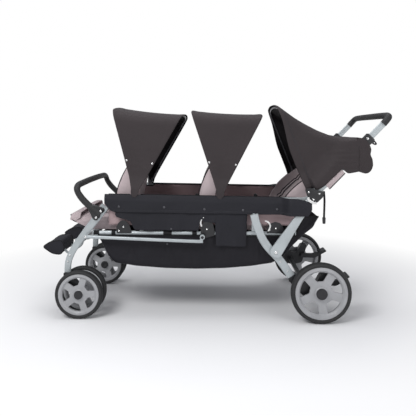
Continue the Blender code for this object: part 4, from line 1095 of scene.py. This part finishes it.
def band_out(x, drop):
    """How far the band stands out from the frame; drop runs from 0 at its top to 1 at its hem."""
    slack = 0.0011 * math.sin(23 * x + 4 * drop) + 0.0007 * math.sin(57 * x + 2)
    return (COVER_IN + 0.0022 + (0.0085 + slack) * min(1.0, drop / 0.35) ** 0.8
            + (STRUT_OUT + 0.0080 - COVER_IN - 0.0107) * smooth((x - 0.318) / 0.052))


def skirt_out(x, drop):
    """The skirt hangs just inside the band and swings out and in by folds that grow downwards."""
    wave = math.sin(2 * math.pi * (x / 0.118 + 0.22 * drop) + 1.4 * math.sin(7 * x))
    fine = math.sin(2 * math.pi * (x / 0.043 - 0.3 * drop) + 2 * math.sin(11 * x))
    seam = -0.0012 * math.exp(-((x + 0.133) / 0.004) ** 2)
    return COVER_IN + 0.0038 + drop ** 0.8 * (0.0032 * wave + 0.0010 * fine) + 0.0022 * drop + seam


def hanging(name, x0, x1, low, high, out, side, columns, rows):
    """A sheet that hangs beside the frame between an upper line and a lower one."""
    def place(u, v):
        x = x0 + (x1 - x0) * u
        top, bottom = high(x), low(x)
        return (x, side * out(x, v), top + (bottom - top) * v)

    return grid_piece(name, columns, rows, place, (x1 - x0, 0.16))


def panel_top(x):
    """The inner panel's upper edge, cut down where a canopy's hoops stand."""
    near = min(abs(x - pivot[0]) for pivot, _, _ in CANOPIES)
    return read_line(COVER_HIGH, x) - 0.004 - 0.012 * max(0.0, min(1.0, (0.026 - near) / 0.006))


def panel_out(x, v):
    return PANEL_OUT - 0.0022 * math.sin(math.pi * v) * (1 + math.sin(31 * x + 3 * v)) / 2


for side, label in ((-1, "left"), (1, "right")):
    band = hanging(f"side_band_{label}", -0.5535, 0.468, lambda x: read_line(BAND_LOW, x),
                   lambda x: read_line(COVER_HIGH, x), band_out, side, 150, 22)
    band_area = make_cloth(band, 0.0018)
    dress(band, "root", COVER)
    skirt = hanging(f"side_skirt_{label}", -0.500, 0.158, lambda x: read_line(SKIRT_LOW, x),
                    lambda x: read_line(COVER_HIGH, x) - 0.078, skirt_out, side, 190, 26)
    skirt_area = make_cloth(skirt, 0.0014)
    dress(skirt, "root", COVER, [f"side_cover_{label}"])
    for height in (0.006, 0.0125):
        line = []
        for k in range(111):
            x = -0.515 + 0.95 * k / 110
            line.append(Vector((x, side * (band_out(x, 1.0) + 0.0010), read_line(BAND_LOW, x) + height)))
        stitch = swept(f"side_band_{label}_stitch_{round(height * 1000)}", line, circle(0.0006), 5)
        dress(stitch, "root", STITCH)
    for k, (x, z) in enumerate(BAND_SNAPS):
        drop = (read_line(COVER_HIGH, x) - z) / (read_line(COVER_HIGH, x) - read_line(BAND_LOW, x))
        face = side * (band_out(x, drop) + 0.0010)
        snap = stud(f"side_band_{label}_snap_{k + 1}", x, z, face, side, 0.0058, 0.0024)
        dress(snap, "root", STEEL)
    drop = (0.526 - 0.4366) / (0.526 - 0.432)
    snap = stud(f"side_skirt_{label}_snap", -0.220, 0.4400, side * (skirt_out(-0.220, drop) + 0.0008), side,
                0.0052, 0.0022)
    dress(snap, "root", STEEL)
    panel = hanging(f"side_panel_{label}", PANEL_START, PANEL_END, lambda x: PANEL_FOOT, panel_top, panel_out,
                    side, 140, 14)
    panel_area = make_cloth(panel, 0.0012)
    # Seat cloth with painted shade, darker than the seats themselves.
    dress(panel, "root", SHADED_SEAT)
    edge = []
    for k in range(141):
        x = PANEL_START + (PANEL_END - PANEL_START) * k / 140
        edge.append(Vector((x, side * PANEL_OUT, panel_top(x) + 0.0005)))
    dress(swept(f"side_panel_{label}_edge", edge, circle(0.0030), 8), "root", PIPING)
print("side covers: band", round(band_area, 3), "m2, skirt", round(skirt_area, 3), "m2")

# %% [markdown]
# The basket is one big sling of thin cloth. It hangs from the seat rails, sags in the middle and turns up
# behind the rear seats, with creases that run from its snaps and seams down towards the floor.

# %% Basket
RAIL_Y = 0.2762
BASKET_TOP = 0.4067
BASKET_FRONT, BASKET_REAR = -0.590, 0.513
BASKET_LOW = ((BASKET_FRONT, 0.402), (-0.568, 0.352), (-0.538, 0.295), (-0.505, 0.262), (-0.400, 0.2465),
              (-0.250, 0.2360), (-0.100, 0.2330), (0.050, 0.2375), (0.180, 0.2495), (0.280, 0.2650),
              (0.330, 0.2870), (0.378, 0.3450), (0.4435, 0.4100), (0.488, 0.4440), (BASKET_REAR, 0.4980))
BASKET_HIGH = ((BASKET_FRONT, BASKET_TOP), (0.404, BASKET_TOP), (0.424, 0.470), (0.446, 0.503),
               (BASKET_REAR, 0.505))
CREASES = ((-0.241, 0.40), (-0.133, 0.41), (0.060, 0.36), (-0.420, 0.36), (0.210, 0.37))


def crease(x, z):
    """Shallow folds that fan down from the basket's snaps and seams."""
    total = 0.0
    for cx, cz in CREASES:
        fall = max(0.0, cz - z)
        reach = 0.010 + 0.35 * fall
        turn = (x - cx) / reach
        total += 0.0034 * math.cos(6.0 * turn) * math.exp(-turn * turn) * min(1.0, fall / 0.03)
    return total + 0.0012 * math.sin(41 * x + 9 * z)


def basket_line(x):
    """Half of the sling's section at x, from its rim to the middle, as (across, height) points."""
    low, high = read_line(BASKET_LOW, x), read_line(BASKET_HIGH, x)
    half = RAIL_Y + 0.003
    deep = high - low
    corner = min(0.024, deep * 0.6)
    belly = min(1.0, deep / 0.12)
    fold = 0.0022 * math.sin(2 * math.pi * x / 0.145 + 0.6) * belly
    line = []
    for k in range(19):
        t = k / 18
        z = high - (deep - corner) * t
        pinch = (0.004 + fold) * math.sin(math.pi * min(1.0, 0.15 + 0.85 * t)) * belly
        line.append((half - max(0.0, pinch) + crease(x, z) * belly * math.sin(math.pi * t) ** 0.5, z))
    for k in range(1, 9):
        angle = math.pi / 2 * k / 8
        line.append((half - corner * (1 - math.cos(angle)) - 0.001, low + corner * (1 - math.sin(angle))))
    flat = half - corner
    for k in range(1, 15):
        t = 1 - k / 14
        sag = 0.008 * (1 - t * t) * belly + fold * 0.8 * math.sin(3 * t + 9 * x)
        ripple = 0.0012 * math.sin(29 * x + 7 * t) * belly * (1 - t ** 4)
        line.append((flat * t, low - sag * (1 - t ** 6) + ripple))
    return line


def basket_spot(u, v):
    x = BASKET_FRONT + (BASKET_REAR - BASKET_FRONT) * v
    half = BASKET_SECTIONS.setdefault(round(v, 5), basket_line(x))
    k = round(u * (2 * len(half) - 2))
    if k < len(half):
        y, z = half[k]
        return (x, -y, z)
    y, z = half[2 * len(half) - 2 - k]
    return (x, y, z)


BASKET_SECTIONS = {}
sling = grid_piece("basket_sling", 2 * len(basket_line(0.0)) - 2, 150, basket_spot, (0.88, 1.2))
sling_area = make_cloth(sling, 0.0016)
dress(sling, "root", BASKET, ["basket"])
for side, label in ((-1, "left"), (1, "right")):
    line = [Vector(basket_spot(0.0 if side < 0 else 1.0, k / 120)) for k in range(121)]
    line = [Vector((p.x, p.y, p.z - 0.004)) + Vector((0, side * 0.0016, 0)) for p in line]
    hem = swept(f"basket_hem_{label}", line, lambda a: (0.0013 * math.cos(a), 0.0042 * math.sin(a)), 8)
    dress(hem, "root", WEBBING)
    snap = stud(f"basket_snap_{label}", -0.241, 0.3613, side * (RAIL_Y + 0.0030 + 0.0010), side, 0.0050,
                0.0022)
    dress(snap, "root", STEEL)
print("basket sling", round(sling_area, 3), "m2")

# %% [markdown]
# The rear hood has a single hoop in front. Its cloth runs back over both arms of the push handle, drawn in
# shallow folds towards the collars, and ends in a soft pouch that hangs behind. A broad hem with two rows
# of stitches wraps the hoop.

# %% Rear hood
HOOD_PIVOT, HOOD_ANGLE, HOOD_REACH = (0.482, 0.640), 111.3, 0.448
ARM_CLEAR = OUTER_IN + HANDLE_THICK + 0.0035
HOOD_PROUD = 0.0054
HOOD_SECTIONS = (
    ((0.4985, 0.637), (0.402, 1.003), 0.2600, 0.060), ((0.530, 0.656), (0.440, 0.979), 0.2680, 0.058),
    ((0.575, 0.700), (0.510, 0.939), 0.2860, 0.050), ((0.618, 0.742), (0.575, 0.913), 0.3120, 0.040),
    ((0.646, 0.719), (0.640, 0.900), ARM_CLEAR, 0.028), ((0.700, 0.729), (0.702, 0.894), ARM_CLEAR, 0.018),
)


def over_arm(p, proud):
    """Move a point of the hood's side out, so that the cloth passes outside the handle's arm."""
    dx, dz = p.x - HANDLE_HINGE[0], p.z - HANDLE_HINGE[1]
    slope = math.radians(HANDLE_SLOPE)
    above = dz * math.cos(slope) - dx * math.sin(slope)
    lean_back = math.radians(HOOD_ANGLE)
    behind = (p.x - HOOD_PIVOT[0]) * math.sin(lean_back) - (p.z - HOOD_PIVOT[1]) * math.cos(lean_back)
    share = (1 - smooth((above - 0.028) / 0.075)) * smooth((behind + 0.012) / 0.022)
    y = max(abs(p.y), abs(p.y) + (ARM_CLEAR + proud - abs(p.y)) * share)
    return Vector((p.x, math.copysign(y, p.y), p.z))


def hood_rows(proud):
    """The hood's sections from its front hem to its rear end, each a row of points in space."""
    half = BOW_FRONT_Y + 1.2 * HOOD_PROUD + proud
    reach = HOOD_REACH + 2.4 * HOOD_PROUD + proud
    line = hoop(half, reach, 0.004, 22, 8, 16, BOW_CORNER + HOOD_PROUD, BOW_CROWN)
    knots = [lean(line, HOOD_PIVOT, HOOD_ANGLE)]
    for foot, top, half_top, corner in HOOD_SECTIONS:
        angle = math.degrees(math.atan2(top[1] - foot[1], top[0] - foot[0]))
        points = hoop(half_top + proud, math.dist(foot, top) + proud, 0.0, 22, 8, 16, corner, 0.010)
        knots.append(lean(points, foot, angle))
    counts = (14, 5, 9, 9, 9, 8)
    rows = []
    for (a, b), count in zip(zip(knots, knots[1:]), counts):
        rows += [[p.lerp(q, i / count) for p, q in zip(a, b)] for i in range(count)]
    rows.append(knots[-1])
    for _ in range(3):
        rows = [rows[0]] + [[(p + q * 2 + r) / 4 for p, q, r in zip(a, b, c)]
                            for a, b, c in zip(rows, rows[1:], rows[2:])] + [rows[-1]]
    rows = [[over_arm(p, proud) for p in row] for row in rows]
    front = Vector((-math.sin(math.radians(HOOD_ANGLE)), 0, math.cos(math.radians(HOOD_ANGLE))))
    hem = []
    for share in (1.0, 0.72, 0.4):
        reach = [0.0105 + 0.0225 * (1 - smooth((r - 0.20) / 0.20)) for _, r in line]
        hem.append([p + front * e * share for p, e in zip(rows[0], reach)])
    return hem + rows


def hood_fold(p, wide):
    """Folds that run from the front hoop towards the collars, deepest beside the arms."""
    along = smooth((p.x - 0.47) / 0.16) * (1 - 0.35 * smooth((p.x - 0.66) / 0.05))
    phase = (p.z - 0.80 - 0.16 * (p.x - 0.60)) / (0.030 + 0.02 * along)
    deep = 0.0030 * math.sin(2 * math.pi * phase + 2.5 * math.sin(9 * p.x)) * along
    return (deep + 0.0007 * math.sin(37 * p.x + 29 * p.z)) * wide


def hood_sheet(name, proud):
    rows = hood_rows(proud)
    cols = len(rows[0]) - 1

    def place(u, v):
        p = rows[round(v * (len(rows) - 1))][round(u * cols)]
        side = abs(2 * u - 1)
        wide = smooth((side - 0.42) / 0.2)
        out = math.copysign(abs(hood_fold(p, wide)), p.y)
        dip = 0.0022 * (1 - wide) * (1 + math.sin(19 * p.y + 31 * p.x)) * smooth((p.x - 0.42) / 0.1)
        return p + Vector((0, out, 0)) - Vector((0, 0, dip))

    return grid_piece(name, cols, len(rows) - 1, place, (1.25, 0.5))


for part, proud, material, wall in (("shell", 0.0, CANOPY, 0.0014), ("lining", -0.0024, LINING, 0.0008)):
    sheet = hood_sheet(f"hood_{part}", proud)
    area = make_cloth(sheet, wall)
    finish(sheet, material)
    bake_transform(sheet)
    if part == "shell":
        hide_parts("canopy_3_cloth")
    print(sheet.name, "area", round(area, 3), "m2")

rows = hood_rows(0.0)
for index, offset in ((5, "front"), (7, "rear")):
    line = [p + (p - Vector((0.48, 0, 0.75))).normalized() * 0.0012 for p in rows[index]]
    seam = swept(f"hood_stitch_{offset}", line, circle(0.0007), 5)
    finish(seam, STITCH)
    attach(seam, "canopy_3_front")

# %% Pouch behind the hood
POUCH = ((0.694, 0.895), (0.726, 0.889), (0.748, 0.872), (0.765, 0.840), (0.762, 0.812), (0.772, 0.788),
         (0.774, 0.756), (0.760, 0.730), (0.735, 0.7205), (0.694, 0.731))
POUCH_HALF, POUCH_FRONT = ARM_CLEAR, 0.694


def pouch_spot(u, v):
    """The pouch wraps from the hood's top edge down and round its bottom, with slack folds across it."""
    line = POUCH_LINE[round(v * 60)]
    wide = 2 * u - 1
    ends = smooth((1 - abs(wide)) / 0.10)
    slack = 0.0035 * math.sin(11 * wide + 5 * math.sin(3 * v * math.pi)) * math.sin(math.pi * v) * ends
    x = POUCH_FRONT + (line.x - POUCH_FRONT) * (0.90 + 0.10 * ends) + slack * 0.6
    return (x, wide * POUCH_HALF, line.z + slack * 0.4)


POUCH_LINE = smooth_line([(x, 0, z) for x, z in POUCH], 60)
pouch = grid_piece("hood_pouch", 72, 60, pouch_spot, (0.66, 0.30))
pouch_area = make_cloth(pouch, 0.0014)
dress(pouch, "root", CANOPY)
for side, label in ((-1, "left"), (1, "right")):
    flank = [(POUCH_FRONT + (p.x - POUCH_FRONT) * 0.90 - 0.0006, p.z) for p in POUCH_LINE[::3]]
    cheek = outlined(f"hood_cheek_{label}", flank, side * (POUCH_HALF - 0.0008), side * (POUCH_HALF + 0.0010))
    dress(cheek, "root", CANOPY)
print("pouch area", round(pouch_area, 3), "m2")

# %% [markdown]
# The small hardware sits on top of the tubes: black recline brackets with bright rivets, sleeves on the
# seat rails, the hinge plate under the hood, a strap that closes the rear, and cuffs on the handle's arms.

# %% Brackets, rails and straps
RAIL_FACE = 0.2863
BRACKETS = (
    ((-0.4958, 0.4165), (-0.4958, 0.448), (-0.484, 0.4700), (-0.466, 0.4815), (-0.446, 0.4770),
     (-0.428, 0.452), (-0.420, 0.4285), (-0.420, 0.4165)),
    ((-0.0750, 0.4050), (-0.0714, 0.452), (-0.060, 0.478), (-0.045, 0.4895), (-0.026, 0.4830),
     (-0.012, 0.462), (-0.003, 0.4285), (-0.003, 0.4065), (-0.030, 0.4000), (-0.064, 0.3900)),
    ((0.2550, 0.4190), (0.2550, 0.446), (0.272, 0.4680), (0.296, 0.4760), (0.322, 0.4700), (0.338, 0.4480),
     (0.338, 0.4190)),
)
RIVETS = (((-0.460, 0.4476), (-0.482, 0.4270)), ((-0.0426, 0.4380), (-0.064, 0.4030)),
          ((0.300, 0.4430), (0.268, 0.4350)))
SLEEVES = ((-0.611, -0.5825), (-0.5205, -0.4998), (-0.2605, -0.218), (-0.1159, -0.0926), (0.330, 0.395))
LEVERS = (((-0.069, 0.452), (-0.0735, 0.474), (-0.066, 0.492), (-0.058, 0.498)),
          ((0.262, 0.430), (0.272, 0.456), (0.262, 0.474), (0.246, 0.482)))
HINGE_PLATE = ((0.434, 0.646), (0.462, 0.650), (0.500, 0.640), (0.526, 0.632), (0.522, 0.606), (0.494, 0.580),
               (0.474, 0.571), (0.458, 0.582), (0.446, 0.608))
HINGE_BOLTS = ((0.4527, 0.630, 0.0048), (0.504, 0.623, 0.0048), (0.4755, 0.5945, 0.0050))
HINGE_HOOK = ((0.4500, 0.606), (0.4520, 0.594), (0.4610, 0.585), (0.4760, 0.579), (0.4900, 0.577))
REAR_STRAP = ((0.5285, 0.634), (0.5305, 0.612), (0.5315, 0.588), (0.5310, 0.560), (0.5300, 0.530),
              (0.5290, 0.502))
REAR_BUCKLE = [(0.5225, 0.475), (0.5355, 0.475), (0.5370, 0.506), (0.5210, 0.506)]
CUFF = ((0.086, -0.0335), (0.086, 0.020), (0.200, 0.020), (0.194, -0.0335))

for side, label in ((-1, "left"), (1, "right")):
    rail = swept(f"seat_rail_{label}_tube", straight((-0.615, RAIL_Z), (0.400, RAIL_Z), side * RAIL_Y),
                 circle(0.0098), 28)
    dress(rail, "root", PAINT, [f"seat_rail_{label}"])
    for k, (x0, x1) in enumerate(SLEEVES):
        line = straight((x0, RAIL_Z), (x1, RAIL_Z), side * RAIL_Y)
        sleeve = swept(f"seat_rail_{label}_sleeve_{k + 1}", line, circle(0.0108), 28)
        dress(sleeve, "root", WEBBING)
    for k, outline in enumerate(BRACKETS):
        low, high = sorted((side * (RAIL_FACE + 0.0002), side * (RAIL_FACE + 0.0028)))
        plate = outlined(f"recline_bracket_{k + 1}_{label}", rounded(outline, 0.006, 4), low, high, 0.0007)
        dress(plate, "root", PLASTIC)
        for n, (x, z) in enumerate(RIVETS[k]):
            rivet(f"recline_bracket_{k + 1}_{label}_rivet_{n + 1}", x, z, side * (RAIL_FACE + 0.0028), side,
                  0.0046, 0.0022, "root")
    for k, points in enumerate(LEVERS):
        line = smooth_line([(x, side * (RAIL_FACE + 0.0050), z) for x, z in points], 30)
        lever = swept(f"recline_lever_{k + 2}_{label}", line, flat_oval(0.0028, 0.0075), 14)
        dress(lever, "root", CHROME)
    face = STRUT_OUT + 0.0006
    low, high = sorted((side * face, side * (face + 0.0026)))
    plate = outlined(f"hinge_plate_{label}", rounded(HINGE_PLATE, 0.008, 4), low, high, 0.0008)
    dress(plate, "root", PLASTIC)
    for k, (x, z, radius) in enumerate(HINGE_BOLTS):
        rivet(f"hinge_plate_{label}_bolt_{k + 1}", x, z, side * (face + 0.0026), side, radius, 0.0026, "root")
    line = smooth_line([(x, side * (face + 0.0046), z) for x, z in HINGE_HOOK], 30)
    dress(swept(f"hinge_hook_{label}", line, flat_oval(0.0030, 0.0110), 14), "root", CHROME)
    strap = [Vector((x, side * (HANDLE_Y + 0.0155), z)) for x, z in REAR_STRAP]
    webbing(f"rear_strap_{label}", smooth_line(strap, 30), 0.0100, Vector((0, 1, 0)), "root")
    low, high = sorted((side * (HANDLE_Y + 0.012), side * (HANDLE_Y + 0.0195)))
    clip = outlined(f"rear_strap_buckle_{label}", rounded(REAR_BUCKLE, 0.003, 3), low, high, 0.001)
    dress(clip, "root", PLASTIC)
    face = HANDLE_Y + HANDLE_THICK / 2
    low, high = sorted((side * (face + 0.0004), side * (face + 0.0022)))
    sleeve = [along_handle(a, b) for a, b in CUFF]
    cuff = outlined(f"arm_cuff_{label}", rounded(sleeve, 0.003, 3), low, high, 0.0006)
    dress(cuff, "handle", SEAT)
    line = straight(along_handle(0.086, -0.0335), along_handle(0.195, -0.0335), side * (face + 0.0013), 20)
    dress(swept(f"arm_cuff_{label}_piping", line, circle(0.0026), 8), "handle", PIPING)
print("brackets", len(BRACKETS) * 2)

# %% [markdown]
# Two padded foot plates hook over the cross tube, one in front of each front seat. The other solids that
# already have the real form keep their mesh, and they only get a finish.

# %% Foot plates and kept solids
FOOT_OUTLINE = rounded(((-0.8808, 0.3375), (-0.842, 0.364), (-0.782, 0.372), (-0.768, 0.330), (-0.785, 0.298),
                        (-0.830, 0.303)), 0.016, 5)
FOOT_ARM = ((-0.790, 0.335), (-0.752, 0.300), (-0.7158, 0.325), (-0.7158, 0.374))
FOOT_IN, FOOT_OUT = 0.090, 0.252

for side, label in ((-1, "left"), (1, "right")):
    low, high = sorted((side * FOOT_IN, side * FOOT_OUT))
    pad = outlined(f"footrest_{label}_pad", FOOT_OUTLINE, low, high, 0.004, 4)
    dress(pad, "front_legs", COVER, [f"footrest_{label}"])
    for k, y in enumerate((0.115, 0.225)):
        line = smooth_line([(x, side * y, z) for x, z in FOOT_ARM], 40)
        arm = swept(f"footrest_{label}_arm_{k + 1}", line, circle(0.0060), 20)
        dress(arm, "front_legs", PAINT)
    for k, y in enumerate((FOOT_IN + 0.0005, FOOT_OUT - 0.0005)):
        rim = [Vector((x, side * y, z)) for x, z in FOOT_OUTLINE]
        edge = swept(f"footrest_{label}_edge_{k + 1}", rim + rim[:1], circle(0.0022), 8)
        dress(edge, "front_legs", PIPING)

for name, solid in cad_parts.items():
    if name.startswith(("top_rail", "front_seat_tube", "front_cross_tube")):
        finish(solid, PAINT)
    elif name.startswith("recline_rod"):
        finish(solid, CHROME)
    elif name.endswith("bow"):
        finish(solid, STEEL)
    elif name.startswith(("caster", "rear_axle", "brake_pedal")):
        finish(solid, PLASTIC)
print("foot plates and kept solids")

# %% [markdown]
# A product picture wants a white surround and a soft shadow that keeps the wheels on the ground. The floor
# is plain and pale, large soft lights hang above and in front, and the camera sees pure white behind.

# %% Floor, lights and surround
FLOOR_HALF = 30.0
bpy.ops.object.select_all(action="DESELECT")
bpy.ops.mesh.primitive_plane_add(size=FLOOR_HALF * 2)
floor = bpy.context.object
floor.name = "floor"
floor_mat, nodes, links, shader = start_material("floor", (0.80, 0.80, 0.81), 0.9)
place = nodes.new("ShaderNodeTexCoord").outputs["Object"]
distance = nodes.new("ShaderNodeVectorMath")
distance.operation = "LENGTH"
links.new(place, distance.inputs[0])
fade = spread(nodes, links, distance.outputs["Value"], 0.0, 1.0)
shade_range = fade.node
shade_range.inputs["From Min"].default_value = 0.85
shade_range.inputs["From Max"].default_value = 1.9
glow = nodes.new("ShaderNodeEmission")
glow.inputs["Color"].default_value = (1, 1, 1, 1)
blend = nodes.new("ShaderNodeMixShader")
links.new(fade, blend.inputs["Fac"])
links.new(shader.outputs["BSDF"], blend.inputs[1])
links.new(glow.outputs["Emission"], blend.inputs[2])
links.new(blend.outputs["Shader"], nodes["Material Output"].inputs["Surface"])
floor.data.materials.append(floor_mat)
floor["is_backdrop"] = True


def soft_light(name, place, target, size, power):
    data = bpy.data.lights.new(name, "AREA")
    data.shape = "RECTANGLE"
    data.size, data.size_y = size
    data.energy = power
    light = bpy.data.objects.new(name, data)
    light.location = place
    light.rotation_euler = (Vector(target) - Vector(place)).to_track_quat("-Z", "Y").to_euler()
    bpy.context.scene.collection.objects.link(light)
    return light


soft_light("key_light", (-1.6, -2.6, 3.0), (0, 0, 0.5), (1.6, 1.2), 86)
soft_light("fill_light", (2.6, -2.8, 2.0), (0, 0, 0.5), (2.2, 2.0), 34)
soft_light("top_light", (0.0, 0.4, 3.6), (0, 0, 0.5), (3.2, 2.4), 62)

world = bpy.data.worlds.new("surround")
bpy.context.scene.world = world
world.use_nodes = True
nodes, links = world.node_tree.nodes, world.node_tree.links
background = nodes["Background"]
background.inputs["Color"].default_value = (0.92, 0.94, 1.0, 1)
background.inputs["Strength"].default_value = 0.42
white = nodes.new("ShaderNodeBackground")
white.inputs["Color"].default_value = (1, 1, 1, 1)
white.inputs["Strength"].default_value = 1.0
path = nodes.new("ShaderNodeLightPath")
seen = nodes.new("ShaderNodeMath")
seen.operation = "MAXIMUM"
links.new(path.outputs["Is Camera Ray"], seen.inputs[0])
links.new(path.outputs["Is Transmission Ray"], seen.inputs[1])
choose = nodes.new("ShaderNodeMixShader")
links.new(seen.outputs[0], choose.inputs["Fac"])
links.new(background.outputs["Background"], choose.inputs[1])
links.new(white.outputs["Background"], choose.inputs[2])
links.new(choose.outputs["Shader"], nodes["World Output"].inputs["Surface"])
bpy.context.scene.view_settings.view_transform = "Standard"
print("lights", 3)

# %% Check the size and close
low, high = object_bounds()
print("scene box", [round(v, 3) for v in low], [round(v, 3) for v in high])
